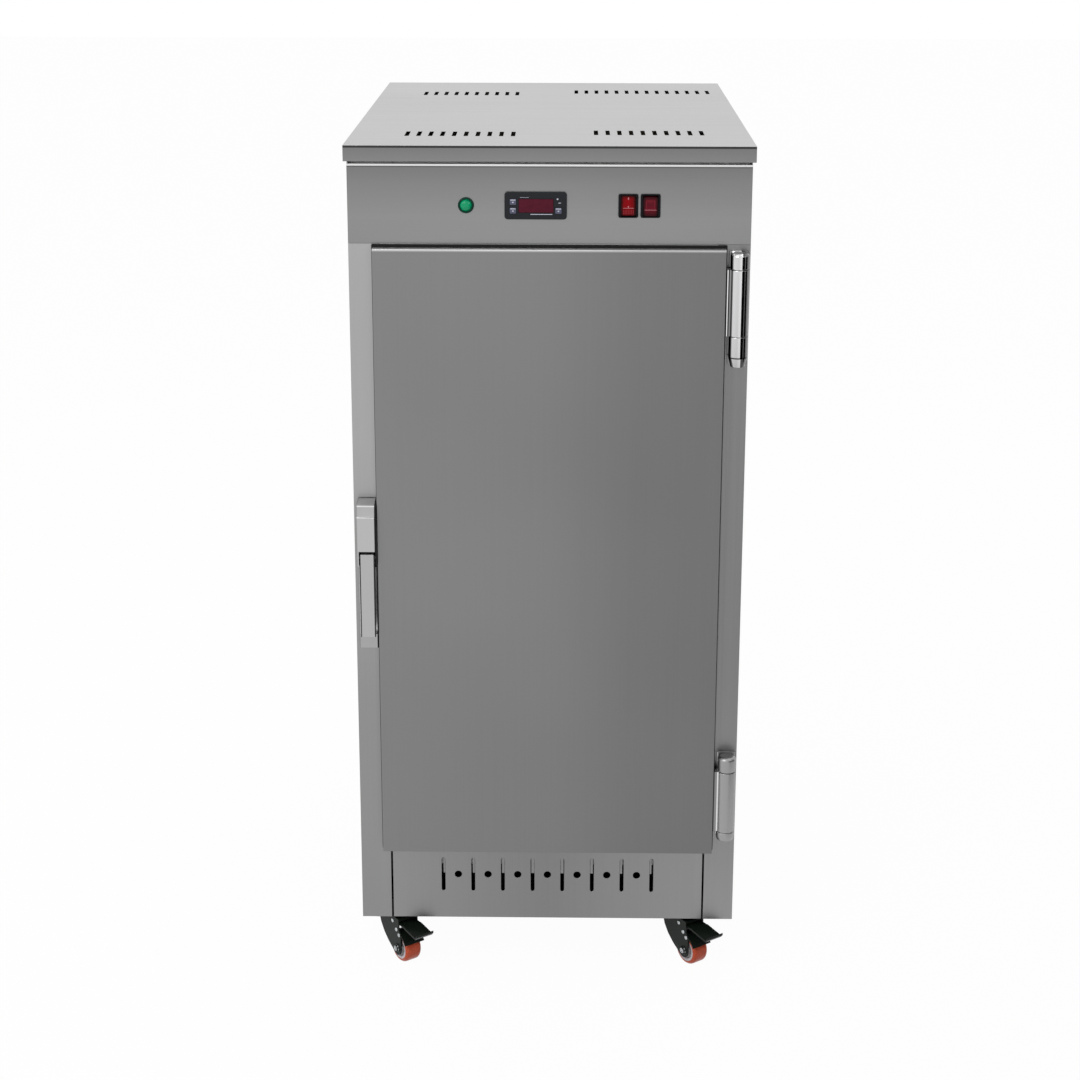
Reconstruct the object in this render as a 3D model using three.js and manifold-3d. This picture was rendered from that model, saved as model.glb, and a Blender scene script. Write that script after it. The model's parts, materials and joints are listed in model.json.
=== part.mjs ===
// Gas food warmer cabinet: a stainless cupboard on four casters, with one insulated door,
// a control panel above it and a gas burner below the warming chamber.
// Millimetres, +Z up. The front faces -Y, +X is to the right, and z = 0 is the floor.
// Until the last lines the front plane of the body is y = 0 and its middle is x = 0.

import * as THREE from 'three';
import { mergeVertices } from 'three/addons/utils/BufferGeometryUtils.js';
import Module from 'manifold-3d';

const wasm = await Module();
wasm.setup();

// Driving dimensions
const bodyWidth = 500;
const bodyDepth = 700;
const bodyHeight = 1046.9;
const casterHeight = 70;
const controlPanelHeight = 99;
const lowerPanelHeight = 115;
const stileWidth = 39.5;
const doorThickness = 14;
const gasketDepth = 6;
const chamberBase = 160;
const lidOverhang = 4;
const lidLip = 20;
const lidLipGap = 3.4;

// Margins that tie the door and the warming chamber to the body
const doorInset = 31;
const doorTopGap = 4;
const doorLap = 8;
const ceilingDrop = 11;
const chamberBackSpace = 50;

// Sheet metal and clearances that every piece shares
const sheet = 1.2;
const linerSheet = 1;
const fit = 0.3;
const overrun = 2;
const weldTolerance = 0.0005;
const flatTolerance = 0.001;

// Facets on round work
const roundSides = 20;
const wheelSides = 20;
const slotSides = 2;
const pinSides = 16;
const smallSides = 12;
const rivetSides = 8;

// Levels, half widths and depths that follow from the driving dimensions
const half = bodyWidth / 2;
const innerHalf = half - sheet - fit;
const stileEdge = half - stileWidth;
const linerHalf = stileEdge - fit;
const chamberHalf = linerHalf - linerSheet;
const bodyBase = casterHeight;
const bodyTop = bodyBase + bodyHeight;
const lidTop = bodyTop + fit + sheet;
const controlPanelTop = lidTop - lidLip - lidLipGap;
const controlPanelBottom = controlPanelTop - controlPanelHeight;
const floorLevel = bodyBase + chamberBase;
const ceilingLevel = controlPanelBottom - ceilingDrop;
const chamberDepth = bodyDepth - chamberBackSpace;
const lowerPanelTop = bodyBase + lowerPanelHeight;
const backPanelFace = bodyDepth - sheet * 2 - fit;
const doorHalf = half - doorInset;
const doorBottom = lowerPanelTop - doorLap;
const doorTop = controlPanelBottom - doorTopGap;
const doorBack = - gasketDepth;
const doorFront = doorBack - doorThickness;

// Finishes of the pieces
const finish = ( color, roughness, metalness ) =>
	() => new THREE.MeshStandardMaterial( { color, roughness, metalness } );

const brushedSteel = finish( 0x8c8c8c, 0.38, 1 );
const linerSteel = finish( 0xb4b6b8, 0.3, 1 );
const chrome = finish( 0xd8dade, 0.08, 1 );
const satinSteel = finish( 0xa6a6a6, 0.32, 1 );
const zincSteel = finish( 0xa9adb0, 0.4, 1 );
const paintedSteel = finish( 0x1d211d, 0.45, 0.2 );
const brass = finish( 0xb5924c, 0.35, 1 );
const castIron = finish( 0x4a4a4c, 0.7, 0.6 );
const blackPlastic = finish( 0x17181a, 0.5, 0 );
const charcoalPlastic = finish( 0x2b2f36, 0.55, 0 );
const litRedPlastic = finish( 0xb3121c, 0.25, 0 );
const darkRedPlastic = finish( 0x7d1a20, 0.3, 0 );
const greenLens = finish( 0x00a878, 0.15, 0 );
const windowRed = finish( 0x5f2a33, 0.12, 0 );
const buttonGrey = finish( 0xb9bccb, 0.45, 0.1 );
const gasketRubber = finish( 0x141414, 0.75, 0 );
const mineralWool = finish( 0xcdb98a, 1, 0 );
const ceramic = finish( 0xe9e6dc, 0.4, 0 );
const orangeTread = finish( 0xc4552e, 0.4, 0 );

// A closed three.js geometry as a solid that can be joined and cut, its points on a fine
// grid so that faces meant to be flush are
function solidOf( geometry ) {

	const bare = geometry.clone();
	bare.deleteAttribute( 'normal' );
	bare.deleteAttribute( 'uv' );
	const welded = mergeVertices( bare, weldTolerance );
	return new wasm.Manifold( new wasm.Mesh( {
		numProp: 3,
		vertProperties: Float32Array.from( welded.attributes.position.array,
			( value ) => Math.round( value / weldTolerance ) * weldTolerance ),
		triVerts: Uint32Array.from( welded.index.array )
	} ) );

}

// A joined and cut solid as a three.js geometry again, its flat faces made whole
function geometryOf( solid ) {

	const mesh = solid.asOriginal().simplify( flatTolerance ).getMesh();
	const geometry = new THREE.BufferGeometry();
	geometry.setAttribute( 'position', new THREE.BufferAttribute( mesh.vertProperties, 3 ) );
	geometry.setIndex( new THREE.BufferAttribute( mesh.triVerts, 1 ) );
	geometry.computeVertexNormals();
	return geometry;

}

const joined = ( first, ...others ) => others.reduce( ( whole, other ) => whole.add( other ), first );
const cut = ( whole, ...tools ) => tools.reduce( ( rest, tool ) => rest.subtract( tool ), whole );

// A box between two x, two y and two z
function block( x0, x1, y0, y1, z0, z1 ) {

	const box = new THREE.BoxGeometry( x1 - x0, y1 - y0, z1 - z0 );
	return solidOf( box.translate( ( x0 + x1 ) / 2, ( y0 + y1 ) / 2, ( z0 + z1 ) / 2 ) );

}

// The x range between two distances from the middle, on the left (-1) or right (+1) side
const across = ( side, inner, outer ) => side > 0 ? [ inner, outer ] : [ - outer, - inner ];

// Frames that lay an outline across an axis: its two coordinates are (y, z) for x,
// (x, z) for y and (x, y) for z
const unitX = new THREE.Vector3( 1, 0, 0 );
const unitY = new THREE.Vector3( 0, 1, 0 );
const unitZ = new THREE.Vector3( 0, 0, 1 );
const frames = {
	x: new THREE.Matrix4().makeBasis( unitY, unitZ, unitX ),
	y: new THREE.Matrix4().makeBasis( unitX, unitZ, unitY.clone().negate() ),
	z: new THREE.Matrix4()
};

// An outline drawn out along an axis, from one place to another
function prism( shape, axis, from, to, curveSegments = 4 ) {

	const settings = { depth: to - from, bevelEnabled: false, curveSegments };
	const start = axis === 'y' ? - to : from;
	return solidOf( new THREE.ExtrudeGeometry( shape, settings ).translate( 0, 0, start )
		.applyMatrix4( frames[ axis ] ) );

}

const outline = ( points ) => new THREE.Shape( points.map( ( [ a, b ] ) => new THREE.Vector2( a, b ) ) );

// A rectangle with round corners, centred on (a, b)
function roundedRectangle( a, b, width, height, radius ) {

	const reach = width / 2 - radius;
	const rise = height / 2 - radius;
	const shape = new THREE.Shape();
	shape.absarc( a + reach, b + rise, radius, 0, Math.PI / 2 );
	shape.absarc( a - reach, b + rise, radius, Math.PI / 2, Math.PI );
	shape.absarc( a - reach, b - rise, radius, Math.PI, Math.PI * 3 / 2 );
	shape.absarc( a + reach, b - rise, radius, Math.PI * 3 / 2, Math.PI * 2 );
	return shape;

}

// A slot with round ends, centred on (a, b), its length along the second coordinate
function slotOutline( a, b, width, length ) {

	const reach = ( length - width ) / 2;
	const shape = new THREE.Shape();
	shape.absarc( a, b + reach, width / 2, 0, Math.PI );
	shape.absarc( a, b - reach, width / 2, Math.PI, Math.PI * 2 );
	return shape;

}

// A closed profile of [radius, place] points turned round an axis through (a, b)
function turned( profile, axis, a, b, sides = roundSides ) {

	const halfStep = Math.PI / sides;
	const points = profile.map( ( [ radius, place ] ) =>
		new THREE.Vector2( radius / Math.cos( halfStep ), place ) );
	if ( THREE.ShapeUtils.area( points ) < 0 ) points.reverse();
	const geometry = new THREE.LatheGeometry( points, sides, halfStep );
	if ( axis !== 'y' ) geometry.rotateX( Math.PI / 2 );
	if ( axis === 'x' ) geometry.rotateY( Math.PI / 2 );
	const places = { x: [ 0, a, b ], y: [ a, 0, b ], z: [ a, b, 0 ] };
	return solidOf( geometry.translate( ...places[ axis ] ) );

}

// A round bar along an axis through (a, b)
const rod = ( axis, a, b, radius, from, to, sides = roundSides ) =>
	turned( [ [ 0, from ], [ radius, from ], [ radius, to ], [ 0, to ] ], axis, a, b, sides );

// Evenly spaced places, centred on a middle
const spaced = ( count, pitch, middle = 0 ) =>
	Array.from( { length: count }, ( _, index ) => middle + ( index - ( count - 1 ) / 2 ) * pitch );

const cabinet = new THREE.Group();

// Puts a solid in a group as a named piece
function piece( name, solid, material, group = cabinet ) {

	const mesh = new THREE.Mesh( geometryOf( solid ), material() );
	mesh.name = name;
	group.add( mesh );
	return mesh;

}

// Top cover: a shallow tray turned upside down, with four groups of air slots

const ventWidth = 5.4;
const ventLength = 45;
const ventPitch = 15;
const ventGroups = [
	{ acrossShare: - 0.229, backShare: 0.151, count: 10 },
	{ acrossShare: 0.252, backShare: 0.171, count: 10 },
	{ acrossShare: - 0.24, backShare: 0.797, count: 10 },
	{ acrossShare: 0.265, backShare: 0.831, count: 14 }
];

function topCover() {

	const reach = half + lidOverhang;
	const tray = block( - reach, reach, - lidOverhang, bodyDepth + lidOverhang, lidTop - lidLip, lidTop );
	const hollow = block( sheet - reach, reach - sheet, sheet - lidOverhang, bodyDepth + lidOverhang - sheet,
		lidTop - lidLip - overrun, lidTop - sheet );
	const vents = ventGroups.flatMap( ( { acrossShare, backShare, count } ) =>
		spaced( count, ventPitch, bodyWidth * acrossShare ).map( ( x ) =>
			block( x - ventWidth / 2, x + ventWidth / 2, bodyDepth * backShare - ventLength / 2,
				bodyDepth * backShare + ventLength / 2, lidTop - sheet - overrun, lidTop + overrun ) ) );
	piece( 'top_cover', cut( tray, hollow, joined( ...vents ) ), brushedSteel );

}

// Base frame: an angle frame round the bottom edge, which carries the burner, with a wide
// ledge behind the front's holes and the plates of the casters welded under its corners

const frameThickness = 2;
const frameRise = 25;
const frameFlange = 85;
const frameLedge = 150;
const frameFront = sheet + fit;
const frameBack = backPanelFace - fit;
const frameSeat = bodyBase + frameThickness + fit;

function baseFrame() {

	const whole = block( - innerHalf, innerHalf, frameFront, frameBack, bodyBase, bodyBase + frameRise );
	const tray = block( frameThickness - innerHalf, innerHalf - frameThickness, frameFront + frameThickness,
		frameBack - frameThickness, bodyBase + frameThickness, bodyBase + frameRise + overrun );
	const middle = block( frameFlange - innerHalf, innerHalf - frameFlange, frameFront + frameLedge,
		frameBack - frameFlange, bodyBase - overrun, bodyBase + frameRise );
	piece( 'base_frame', joined( cut( whole, tray, middle ), ...casterSpots.map( casterPlate ) ), zincSteel );

}

// Side panels: each wraps round the front as a stile and round the back as a flange

const stileReturn = 20;
const rearFlange = 15;
const stileTop = controlPanelBottom - fit;
const returnBase = bodyBase + frameRise + fit;

function sidePanel( name, side ) {

	const wall = block( ...across( side, half - sheet, half ), 0, bodyDepth, bodyBase, bodyTop );
	const stile = block( ...across( side, stileEdge, half ), 0, sheet, bodyBase, stileTop );
	const turnedEdge = block( ...across( side, stileEdge, stileEdge + sheet ), 0, stileReturn,
		returnBase, stileTop );
	const flange = block( ...across( side, half - rearFlange, half ), bodyDepth - sheet, bodyDepth,
		bodyBase, bodyTop );
	const panelSeat = block( ...across( side, half - sheet - overrun, half + overrun ), - overrun, sheet + fit,
		stileTop, bodyTop + overrun );
	piece( name, cut( joined( wall, stile, turnedEdge, flange ), panelSeat ), brushedSteel );

}

// Lower front panel: a loose panel between the stiles, slotted and drilled for combustion air,
// with a shutter plate behind the upper half of its slots that leaves a slit open in each

const lowerPanelGap = 2.5;
const lowerPanelReturn = 15;
const airSlotCount = 8;
const airSlotPitch = 40;
const airSlotWidth = 5;
const airSlotLength = 49;
const airSlotRise = 64;
const airSlotLevel = bodyBase + airSlotRise;
const airHoleRadius = 4.75;
const shutterGap = 3;
const shutterMargin = 18;
const shutterTop = lowerPanelTop - lowerPanelReturn;
const shutterHoleRadius = 7;
const shutterSlit = 2.6;
const slitInnerShare = 0.2;

const airSlots = ( y0, y1 ) => spaced( airSlotCount, airSlotPitch ).map( ( x ) =>
	prism( slotOutline( x, airSlotLevel, airSlotWidth, airSlotLength ), 'y', y0, y1, slotSides ) );
const airHoles = ( radius, y0, y1 ) => spaced( airSlotCount - 1, airSlotPitch ).map( ( x ) =>
	rod( 'y', x, airSlotLevel, radius, y0, y1, smallSides ) );

function lowerFrontPanel() {

	const reach = stileEdge - lowerPanelGap;
	const plate = block( - reach, reach, 0, sheet, bodyBase, lowerPanelTop );
	const topReturn = block( - reach, reach, 0, lowerPanelReturn, lowerPanelTop - sheet, lowerPanelTop );
	const sideReturns = [ - 1, 1 ].map( ( side ) =>
		block( ...across( side, reach - sheet, reach ), 0, lowerPanelReturn, returnBase, lowerPanelTop ) );
	piece( 'lower_front_panel', cut( joined( plate, topReturn, ...sideReturns ),
		...airSlots( - overrun, sheet + overrun ), ...airHoles( airHoleRadius, - overrun, sheet + overrun ) ),
	brushedSteel );

}

function airShutter() {

	const reach = ( airSlotCount - 1 ) * airSlotPitch / 2 + shutterMargin;
	const face = sheet + fit + shutterGap;
	const plate = block( - reach, reach, face, face + sheet, airSlotLevel, shutterTop );
	const lip = block( - reach, reach, sheet + fit, face + sheet, shutterTop - sheet, shutterTop );
	const slits = spaced( airSlotCount, airSlotPitch ).map( ( x ) => {

		const outer = Math.abs( x ) + airSlotWidth / 2;
		const slit = shutterSlit * THREE.MathUtils.lerp( slitInnerShare, 1, Math.abs( x ) / reach );
		return block( ...across( Math.sign( x ), outer - slit, outer ), face - overrun,
			face + sheet + overrun, airSlotLevel - overrun, airSlotLevel + airSlotLength / 2 );

	} );
	piece( 'air_shutter', cut( joined( plate, lip ), ...slits,
		...airHoles( shutterHoleRadius, face - overrun, face + sheet + overrun ) ), linerSteel );

}

// Back panel: a plain sheet inside the rear flanges, slotted like the front, with the two inlets

const inletInset = 100;
const gasInletX = half - inletInset;
const gasInletRise = 60;
const gasLevel = bodyBase + gasInletRise;
const gasThreadRadius = 8;
const powerInletX = inletInset - half;
const powerInletWidth = 27;
const powerInletHeight = 20;
const powerInletBody = 22;

function backPanel() {

	const y0 = backPanelFace;
	const y1 = backPanelFace + sheet;
	const plate = block( - innerHalf, innerHalf, y0, y1, bodyBase, bodyTop );
	const gasHole = rod( 'y', gasInletX, gasLevel, gasThreadRadius + fit, y0 - overrun, y1 + overrun );
	const powerHole = block( powerInletX - powerInletWidth / 2 - fit, powerInletX + powerInletWidth / 2 + fit,
		y0 - overrun, y1 + overrun, gasLevel - powerInletHeight / 2 - fit, gasLevel + powerInletHeight / 2 + fit );
	const slots = airSlots( y0 - overrun, y1 + overrun ).slice( 1, - 1 );
	piece( 'back_panel', cut( plate, gasHole, powerHole, ...slots ), brushedSteel );

}

// Power inlet: a three-pin appliance inlet in the back panel

const powerFlangeMargin = 9;
const powerFlangeThickness = 3;
const powerPins = 3;
const powerPinWidth = 2;
const powerPinPitch = 7;
const powerSocketWall = 2.5;
const powerSocketDepth = 15;

function powerInlet() {

	const face = backPanelFace + sheet + fit;
	const flange = prism( roundedRectangle( powerInletX, gasLevel, powerInletWidth + powerFlangeMargin,
		powerInletHeight + powerFlangeMargin, powerSocketWall ), 'y', face, face + powerFlangeThickness );
	const body = block( powerInletX - powerInletWidth / 2, powerInletX + powerInletWidth / 2,
		face - powerInletBody, face + powerFlangeThickness, gasLevel - powerInletHeight / 2,
		gasLevel + powerInletHeight / 2 );
	const socketTop = face + powerFlangeThickness + overrun;
	const socket = block( powerInletX - powerInletWidth / 2 + powerSocketWall,
		powerInletX + powerInletWidth / 2 - powerSocketWall, face - powerSocketDepth, socketTop,
		gasLevel - powerInletHeight / 2 + powerSocketWall, gasLevel + powerInletHeight / 2 - powerSocketWall );
	const pins = spaced( powerPins, powerPinPitch, powerInletX ).map( ( x ) =>
		block( x - powerPinWidth / 2, x + powerPinWidth / 2, face - powerSocketDepth - powerPinWidth, face,
			gasLevel - powerPinWidth, gasLevel + powerPinWidth ) );
	piece( 'power_inlet', joined( cut( joined( flange, body ), socket ), ...pins ), blackPlastic );

}

// Warming chamber: a sheet box, open at the front, with flanges above and below its mouth

function innerLiner() {

	const shell = block( - linerHalf, linerHalf, 0, chamberDepth + linerSheet,
		floorLevel - linerSheet, ceilingLevel + linerSheet );
	const room = block( - chamberHalf, chamberHalf, - overrun, chamberDepth, floorLevel, ceilingLevel );
	const header = block( - linerHalf, linerHalf, 0, linerSheet, ceilingLevel, controlPanelBottom - fit );
	const apron = block( - linerHalf, linerHalf, 0, linerSheet, lowerPanelTop + fit, floorLevel );
	piece( 'inner_liner', joined( cut( shell, room ), header, apron ), linerSteel );

}

// Mineral wool: one blanket over the sides and the top of the chamber, one slab behind it

const topWool = 32;
const woolTop = ceilingLevel + linerSheet + fit + topWool;

function insulation() {

	const inner = linerHalf + fit;
	const inside = ceilingLevel + linerSheet + fit;
	const blanket = outline( [ [ - innerHalf, floorLevel ], [ - inner, floorLevel ], [ - inner, inside ],
		[ inner, inside ], [ inner, floorLevel ], [ innerHalf, floorLevel ], [ innerHalf, woolTop ],
		[ - innerHalf, woolTop ] ] );
	const back = chamberDepth + linerSheet;
	piece( 'insulation_blanket', prism( blanket, 'y', stileReturn + fit, back ), mineralWool );
	piece( 'insulation_back', block( - innerHalf, innerHalf, back + fit, backPanelFace - fit,
		floorLevel, woolTop ), mineralWool );

}

// Racks: three uprights on each wall with ledges for trays, and wire shelves on some of them

const rackBars = 3;
const rackBar = 2;
const rackBarWidth = 20;
const rackLevels = 7;
const rackFirst = 60;
const rackHead = 95;
const rackPitch = ( ceilingLevel - floorLevel - rackFirst - rackHead ) / ( rackLevels - 1 );
const ledgeWidth = 22;
const ledgeThickness = 1.5;
const ledgeHeight = 12;
const rackFront = 34;
const rackBackGap = 30;
const rackTopGap = 20;
const rackOuter = chamberHalf - fit;
const ledgeWall = rackOuter - rackBar - ledgeThickness;
const rackBack = chamberDepth - rackBackGap;
const ledgeLevel = ( index ) => floorLevel + rackFirst + index * rackPitch;

function rack( name, side ) {

	const barPitch = ( rackBack - rackFront - rackBarWidth ) / ( rackBars - 1 );
	const bars = spaced( rackBars, barPitch, ( rackFront + rackBack ) / 2 ).map( ( y ) =>
		block( ...across( side, rackOuter - rackBar, rackOuter ), y - rackBarWidth / 2, y + rackBarWidth / 2,
			floorLevel + fit, ceilingLevel - rackTopGap ) );
	const ledges = Array.from( { length: rackLevels }, ( _, index ) => {

		const top = ledgeLevel( index );
		const shelf = block( ...across( side, ledgeWall - ledgeWidth, rackOuter ), rackFront, rackBack,
			top - ledgeThickness, top );
		const web = block( ...across( side, ledgeWall, rackOuter ), rackFront, rackBack,
			top - ledgeThickness, top + ledgeHeight );
		return joined( shelf, web );

	} );
	piece( name, joined( ...bars, ...ledges ), linerSteel );

}

const shelfLevels = [ 0, 2, 4, 6 ];
const shelfWire = 6;
const shelfWires = 8;
const shelfSlack = 1.4;
const shelfEnd = 10;

function wireShelf( name, level ) {

	const reach = ledgeWall - shelfSlack;
	const z0 = ledgeLevel( level ) + fit;
	const y0 = rackFront + shelfEnd;
	const y1 = rackBack - shelfEnd;
	const ring = cut( block( - reach, reach, y0, y1, z0, z0 + shelfWire ),
		block( shelfWire - reach, reach - shelfWire, y0 + shelfWire, y1 - shelfWire, z0 - overrun,
			z0 + shelfWire + overrun ) );
	const wires = spaced( shelfWires, reach * 2 / ( shelfWires + 1 ) ).map( ( x ) =>
		block( x - shelfWire / 2, x + shelfWire / 2, y0, y1, z0, z0 + shelfWire ) );
	const middle = ( y0 + y1 ) / 2;
	const crossWire = block( - reach, reach, middle - shelfWire / 2, middle + shelfWire / 2,
		z0, z0 + shelfWire );
	piece( name, joined( ring, crossWire, ...wires ), chrome );

}

// Water pan: an open tray on the chamber floor that keeps the air moist

const panSideGap = 59.2;
const panHalfWidth = chamberHalf - panSideGap;
const panFront = 80;
const panBackGap = 90;
const panHeight = 40;
const panRim = 8;

function waterPan() {

	const z0 = floorLevel + fit;
	const y1 = chamberDepth - panBackGap;
	const body = block( - panHalfWidth, panHalfWidth, panFront, y1, z0, z0 + panHeight );
	const rim = block( - panHalfWidth - panRim, panHalfWidth + panRim, panFront - panRim, y1 + panRim,
		z0 + panHeight - sheet, z0 + panHeight );
	const room = block( sheet - panHalfWidth, panHalfWidth - sheet, panFront + sheet, y1 - sheet,
		z0 + sheet, z0 + panHeight + overrun );
	piece( 'water_pan', cut( joined( body, rim ), room ), linerSteel );

}

// Temperature probe: a bulb held by a clip under the chamber ceiling

const probeRadius = 3;
const probeLength = 55;
const probeInset = 59.2;
const probeX = probeInset - chamberHalf;
const probeDrop = 9;
const probeBackGap = 60;
const probeClip = 8;

function temperatureProbe() {

	const y1 = chamberDepth - probeBackGap;
	const z = ceilingLevel - probeDrop;
	const bulb = rod( 'y', probeX, z, probeRadius, y1 - probeLength, y1, smallSides );
	const clip = block( probeX - probeClip / 2, probeX + probeClip / 2, y1 - probeClip * 2, y1 - probeClip,
		z - probeClip / 2, ceilingLevel - fit );
	piece( 'temperature_probe', joined( bulb, clip ), chrome );

}

// Gas burner: a tube with ports along its top, held in two saddles of a cradle that
// spans the base frame, with a spreader plate hung below the chamber floor

const burnerRadius = 16;
const burnerFront = 110;
const burnerBackSpace = 140;
const burnerBack = bodyDepth - burnerBackSpace;
const burnerRise = 80;
const burnerLevel = bodyBase + burnerRise;
const mouthRadius = 12;
const mouthDepth = 40;
const portCount = 14;
const portWidth = 2.4;
const portLength = 14;
const portDepth = 3;
const portMargin = 30;

function burner() {

	const tube = rod( 'y', 0, burnerLevel, burnerRadius, burnerFront, burnerBack );
	const mouth = rod( 'y', 0, burnerLevel, mouthRadius, burnerBack - mouthDepth, burnerBack + overrun );
	const rowEnd = burnerBack - mouthDepth - portMargin;
	const rowStart = burnerFront + portMargin;
	const ports = spaced( portCount, ( rowEnd - rowStart ) / ( portCount - 1 ), ( rowStart + rowEnd ) / 2 )
		.map( ( y ) => block( - portLength / 2, portLength / 2, y - portWidth / 2, y + portWidth / 2,
			burnerLevel + burnerRadius - portDepth, burnerLevel + burnerRadius + overrun ) );
	piece( 'burner_tube', cut( tube, mouth, ...ports ), castIron );

}

const cradleHalf = 32;
const cradleStrap = 2;
const cradleEnd = 12;
const saddleThickness = 3;
const saddleInset = 50;
const saddleHalf = 22;

function burnerCradle() {

	const strap = block( - cradleHalf, cradleHalf, frameFront + cradleEnd, frameBack - cradleEnd,
		frameSeat, frameSeat + cradleStrap );
	const saddles = [ burnerFront + saddleInset, burnerBack - mouthDepth - saddleInset ].map( ( y ) =>
		block( - saddleHalf, saddleHalf, y, y + saddleThickness, frameSeat, burnerLevel ) );
	const bed = rod( 'y', 0, burnerLevel, burnerRadius + fit, burnerFront, burnerBack );
	piece( 'burner_cradle', cut( joined( strap, ...saddles ), bed ), zincSteel );

}

const spreaderHalf = 80;
const spreaderDrop = 24;
const spreaderPost = 4;
const spreaderPostInset = 15;

function flameSpreader() {

	const under = floorLevel - linerSheet;
	const top = under - spreaderDrop;
	const plate = block( - spreaderHalf, spreaderHalf, burnerFront, burnerBack - mouthDepth, top - sheet, top );
	const reach = spreaderHalf - spreaderPostInset;
	const ends = [ burnerFront + spreaderPostInset, burnerBack - mouthDepth - spreaderPostInset ];
	const posts = ends.flatMap( ( y ) => [ - reach, reach ].map( ( x ) =>
		rod( 'z', x, y, spreaderPost, top - sheet / 2, under - fit, rivetSides ) ) );
	piece( 'flame_spreader', joined( plate, ...posts ), linerSteel );

}

// Gas line: hose tail in the back panel, solenoid valve on the base frame, pipe with its
// injector in the burner mouth

const hoseTail = 26;
const hoseRadius = 7;
const barbRadius = 8.5;
const barbCount = 3;
const collarRadius = 12;
const collarLength = 6;
const inletBoreRadius = 4;
const valveHalf = 22;
const valveDepth = 50;
const valveGap = 42;
const coilRadius = 14;
const coilHeight = 32;
const valveFootHalf = 14;

function gasInlet() {

	const inner = backPanelFace - fit;
	const outer = backPanelFace + sheet + fit;
	const barb = ( hoseTail - collarLength ) / barbCount;
	const barbs = Array.from( { length: barbCount }, ( _, index ) => [
		[ barbRadius, outer + collarLength + index * barb ],
		[ hoseRadius, outer + collarLength + ( index + 1 ) * barb ] ] ).flat();
	const profile = [ [ 0, backPanelFace - valveGap + fit ], [ gasThreadRadius, backPanelFace - valveGap + fit ],
		[ gasThreadRadius, inner - collarLength ], [ collarRadius, inner - collarLength ], [ collarRadius, inner ],
		[ gasThreadRadius, inner ], [ gasThreadRadius, outer ], [ collarRadius, outer ],
		[ collarRadius, outer + collarLength ], ...barbs, [ inletBoreRadius, outer + hoseTail ],
		[ inletBoreRadius, outer + collarLength ], [ 0, outer + collarLength ] ];
	piece( 'gas_inlet', turned( profile, 'y', gasInletX, gasLevel ), brass );

}

const valveBack = backPanelFace - valveGap;
const valveFront = valveBack - valveDepth;

function gasValve() {

	const middle = ( valveFront + valveBack ) / 2;
	const body = block( gasInletX - valveHalf, gasInletX + valveHalf, valveFront, valveBack,
		gasLevel - valveHalf, gasLevel + valveHalf );
	const coil = rod( 'z', gasInletX, middle, coilRadius, gasLevel, gasLevel + valveHalf + coilHeight );
	const foot = block( gasInletX - valveFootHalf, gasInletX + valveFootHalf, middle - valveFootHalf / 2,
		middle + valveFootHalf, frameSeat, gasLevel );
	piece( 'gas_valve', joined( body, coil, foot ), brass );

}

const pipeRadius = 5;
const pipeBend = 50;
const pipeSteps = 24;
const injectorDepth = 16;
const injectorLength = 10;

// A round bar along a smooth line through points
function bentBar( points, radius, steps, sides ) {

	const section = new THREE.Shape( spaced( sides, 1 ).map( ( place ) => {

		const turn = Math.PI * 2 * place / sides;
		return new THREE.Vector2( radius * Math.cos( turn ), radius * Math.sin( turn ) );

	} ) );
	const extrudePath = new THREE.CatmullRomCurve3( points.map( ( point ) => new THREE.Vector3( ...point ) ) );
	return solidOf( new THREE.ExtrudeGeometry( section, { steps, bevelEnabled: false, extrudePath } ) );

}

function gasPipe() {

	const start = gasInletX - valveHalf - fit;
	const y = ( valveFront + valveBack ) / 2;
	const end = burnerBack - injectorDepth;
	const route = [ [ start, y, gasLevel ], [ start - pipeBend / 2, y, gasLevel ], [ pipeBend, y, gasLevel ],
		[ pipeBend / 4, y - pipeBend / 4, ( gasLevel + burnerLevel ) / 2 ], [ 0, y - pipeBend, burnerLevel ],
		[ 0, burnerBack - injectorDepth / 4, burnerLevel ], [ 0, end, burnerLevel ] ];
	const pipe = bentBar( route, pipeRadius, pipeSteps, rivetSides );
	const injector = rod( 'y', 0, burnerLevel, mouthRadius - fit, end - injectorLength / 2,
		end + injectorLength );
	piece( 'gas_pipe', joined( pipe, injector ), brass );

}

// Ignition: a control box on the base frame and a ceramic electrode beside the burner

const ignitionWidth = 60;
const ignitionDepth = 62;
const ignitionHeight = 48;
const ignitionInset = 12;
const terminalHeight = 12;

function ignitionBox() {

	const x1 = ignitionWidth + ignitionInset - innerHalf;
	const y1 = frameBack - ignitionInset;
	const box = block( x1 - ignitionWidth, x1, y1 - ignitionDepth, y1, frameSeat, frameSeat + ignitionHeight );
	const terminals = block( x1 - ignitionWidth + ignitionInset, x1 - ignitionInset, y1 - ignitionDepth / 2,
		y1 - ignitionInset, frameSeat + ignitionHeight / 2, frameSeat + ignitionHeight + terminalHeight );
	piece( 'ignition_box', joined( box, terminals ), blackPlastic );

}

const electrodeX = 25;
const electrodeRadius = 4;
const electrodeBack = 190;
const electrodeY = burnerFront + electrodeBack;
const electrodeTipReach = 16;

function electrode() {

	const base = frameSeat + cradleStrap + fit;
	const tip = burnerLevel + burnerRadius;
	const post = rod( 'z', electrodeX, electrodeY, electrodeRadius, base, tip, smallSides );
	const wire = block( electrodeX - electrodeTipReach, electrodeX, electrodeY - sheet / 2,
		electrodeY + sheet / 2, tip - sheet, tip + sheet + fit );
	const lift = block( electrodeX - electrodeTipReach - overrun, electrodeX - electrodeRadius,
		electrodeY - overrun, electrodeY + overrun, tip - overrun, tip + fit );
	piece( 'ignition_electrode', joined( post, cut( wire, lift ) ), ceramic );

}

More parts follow.
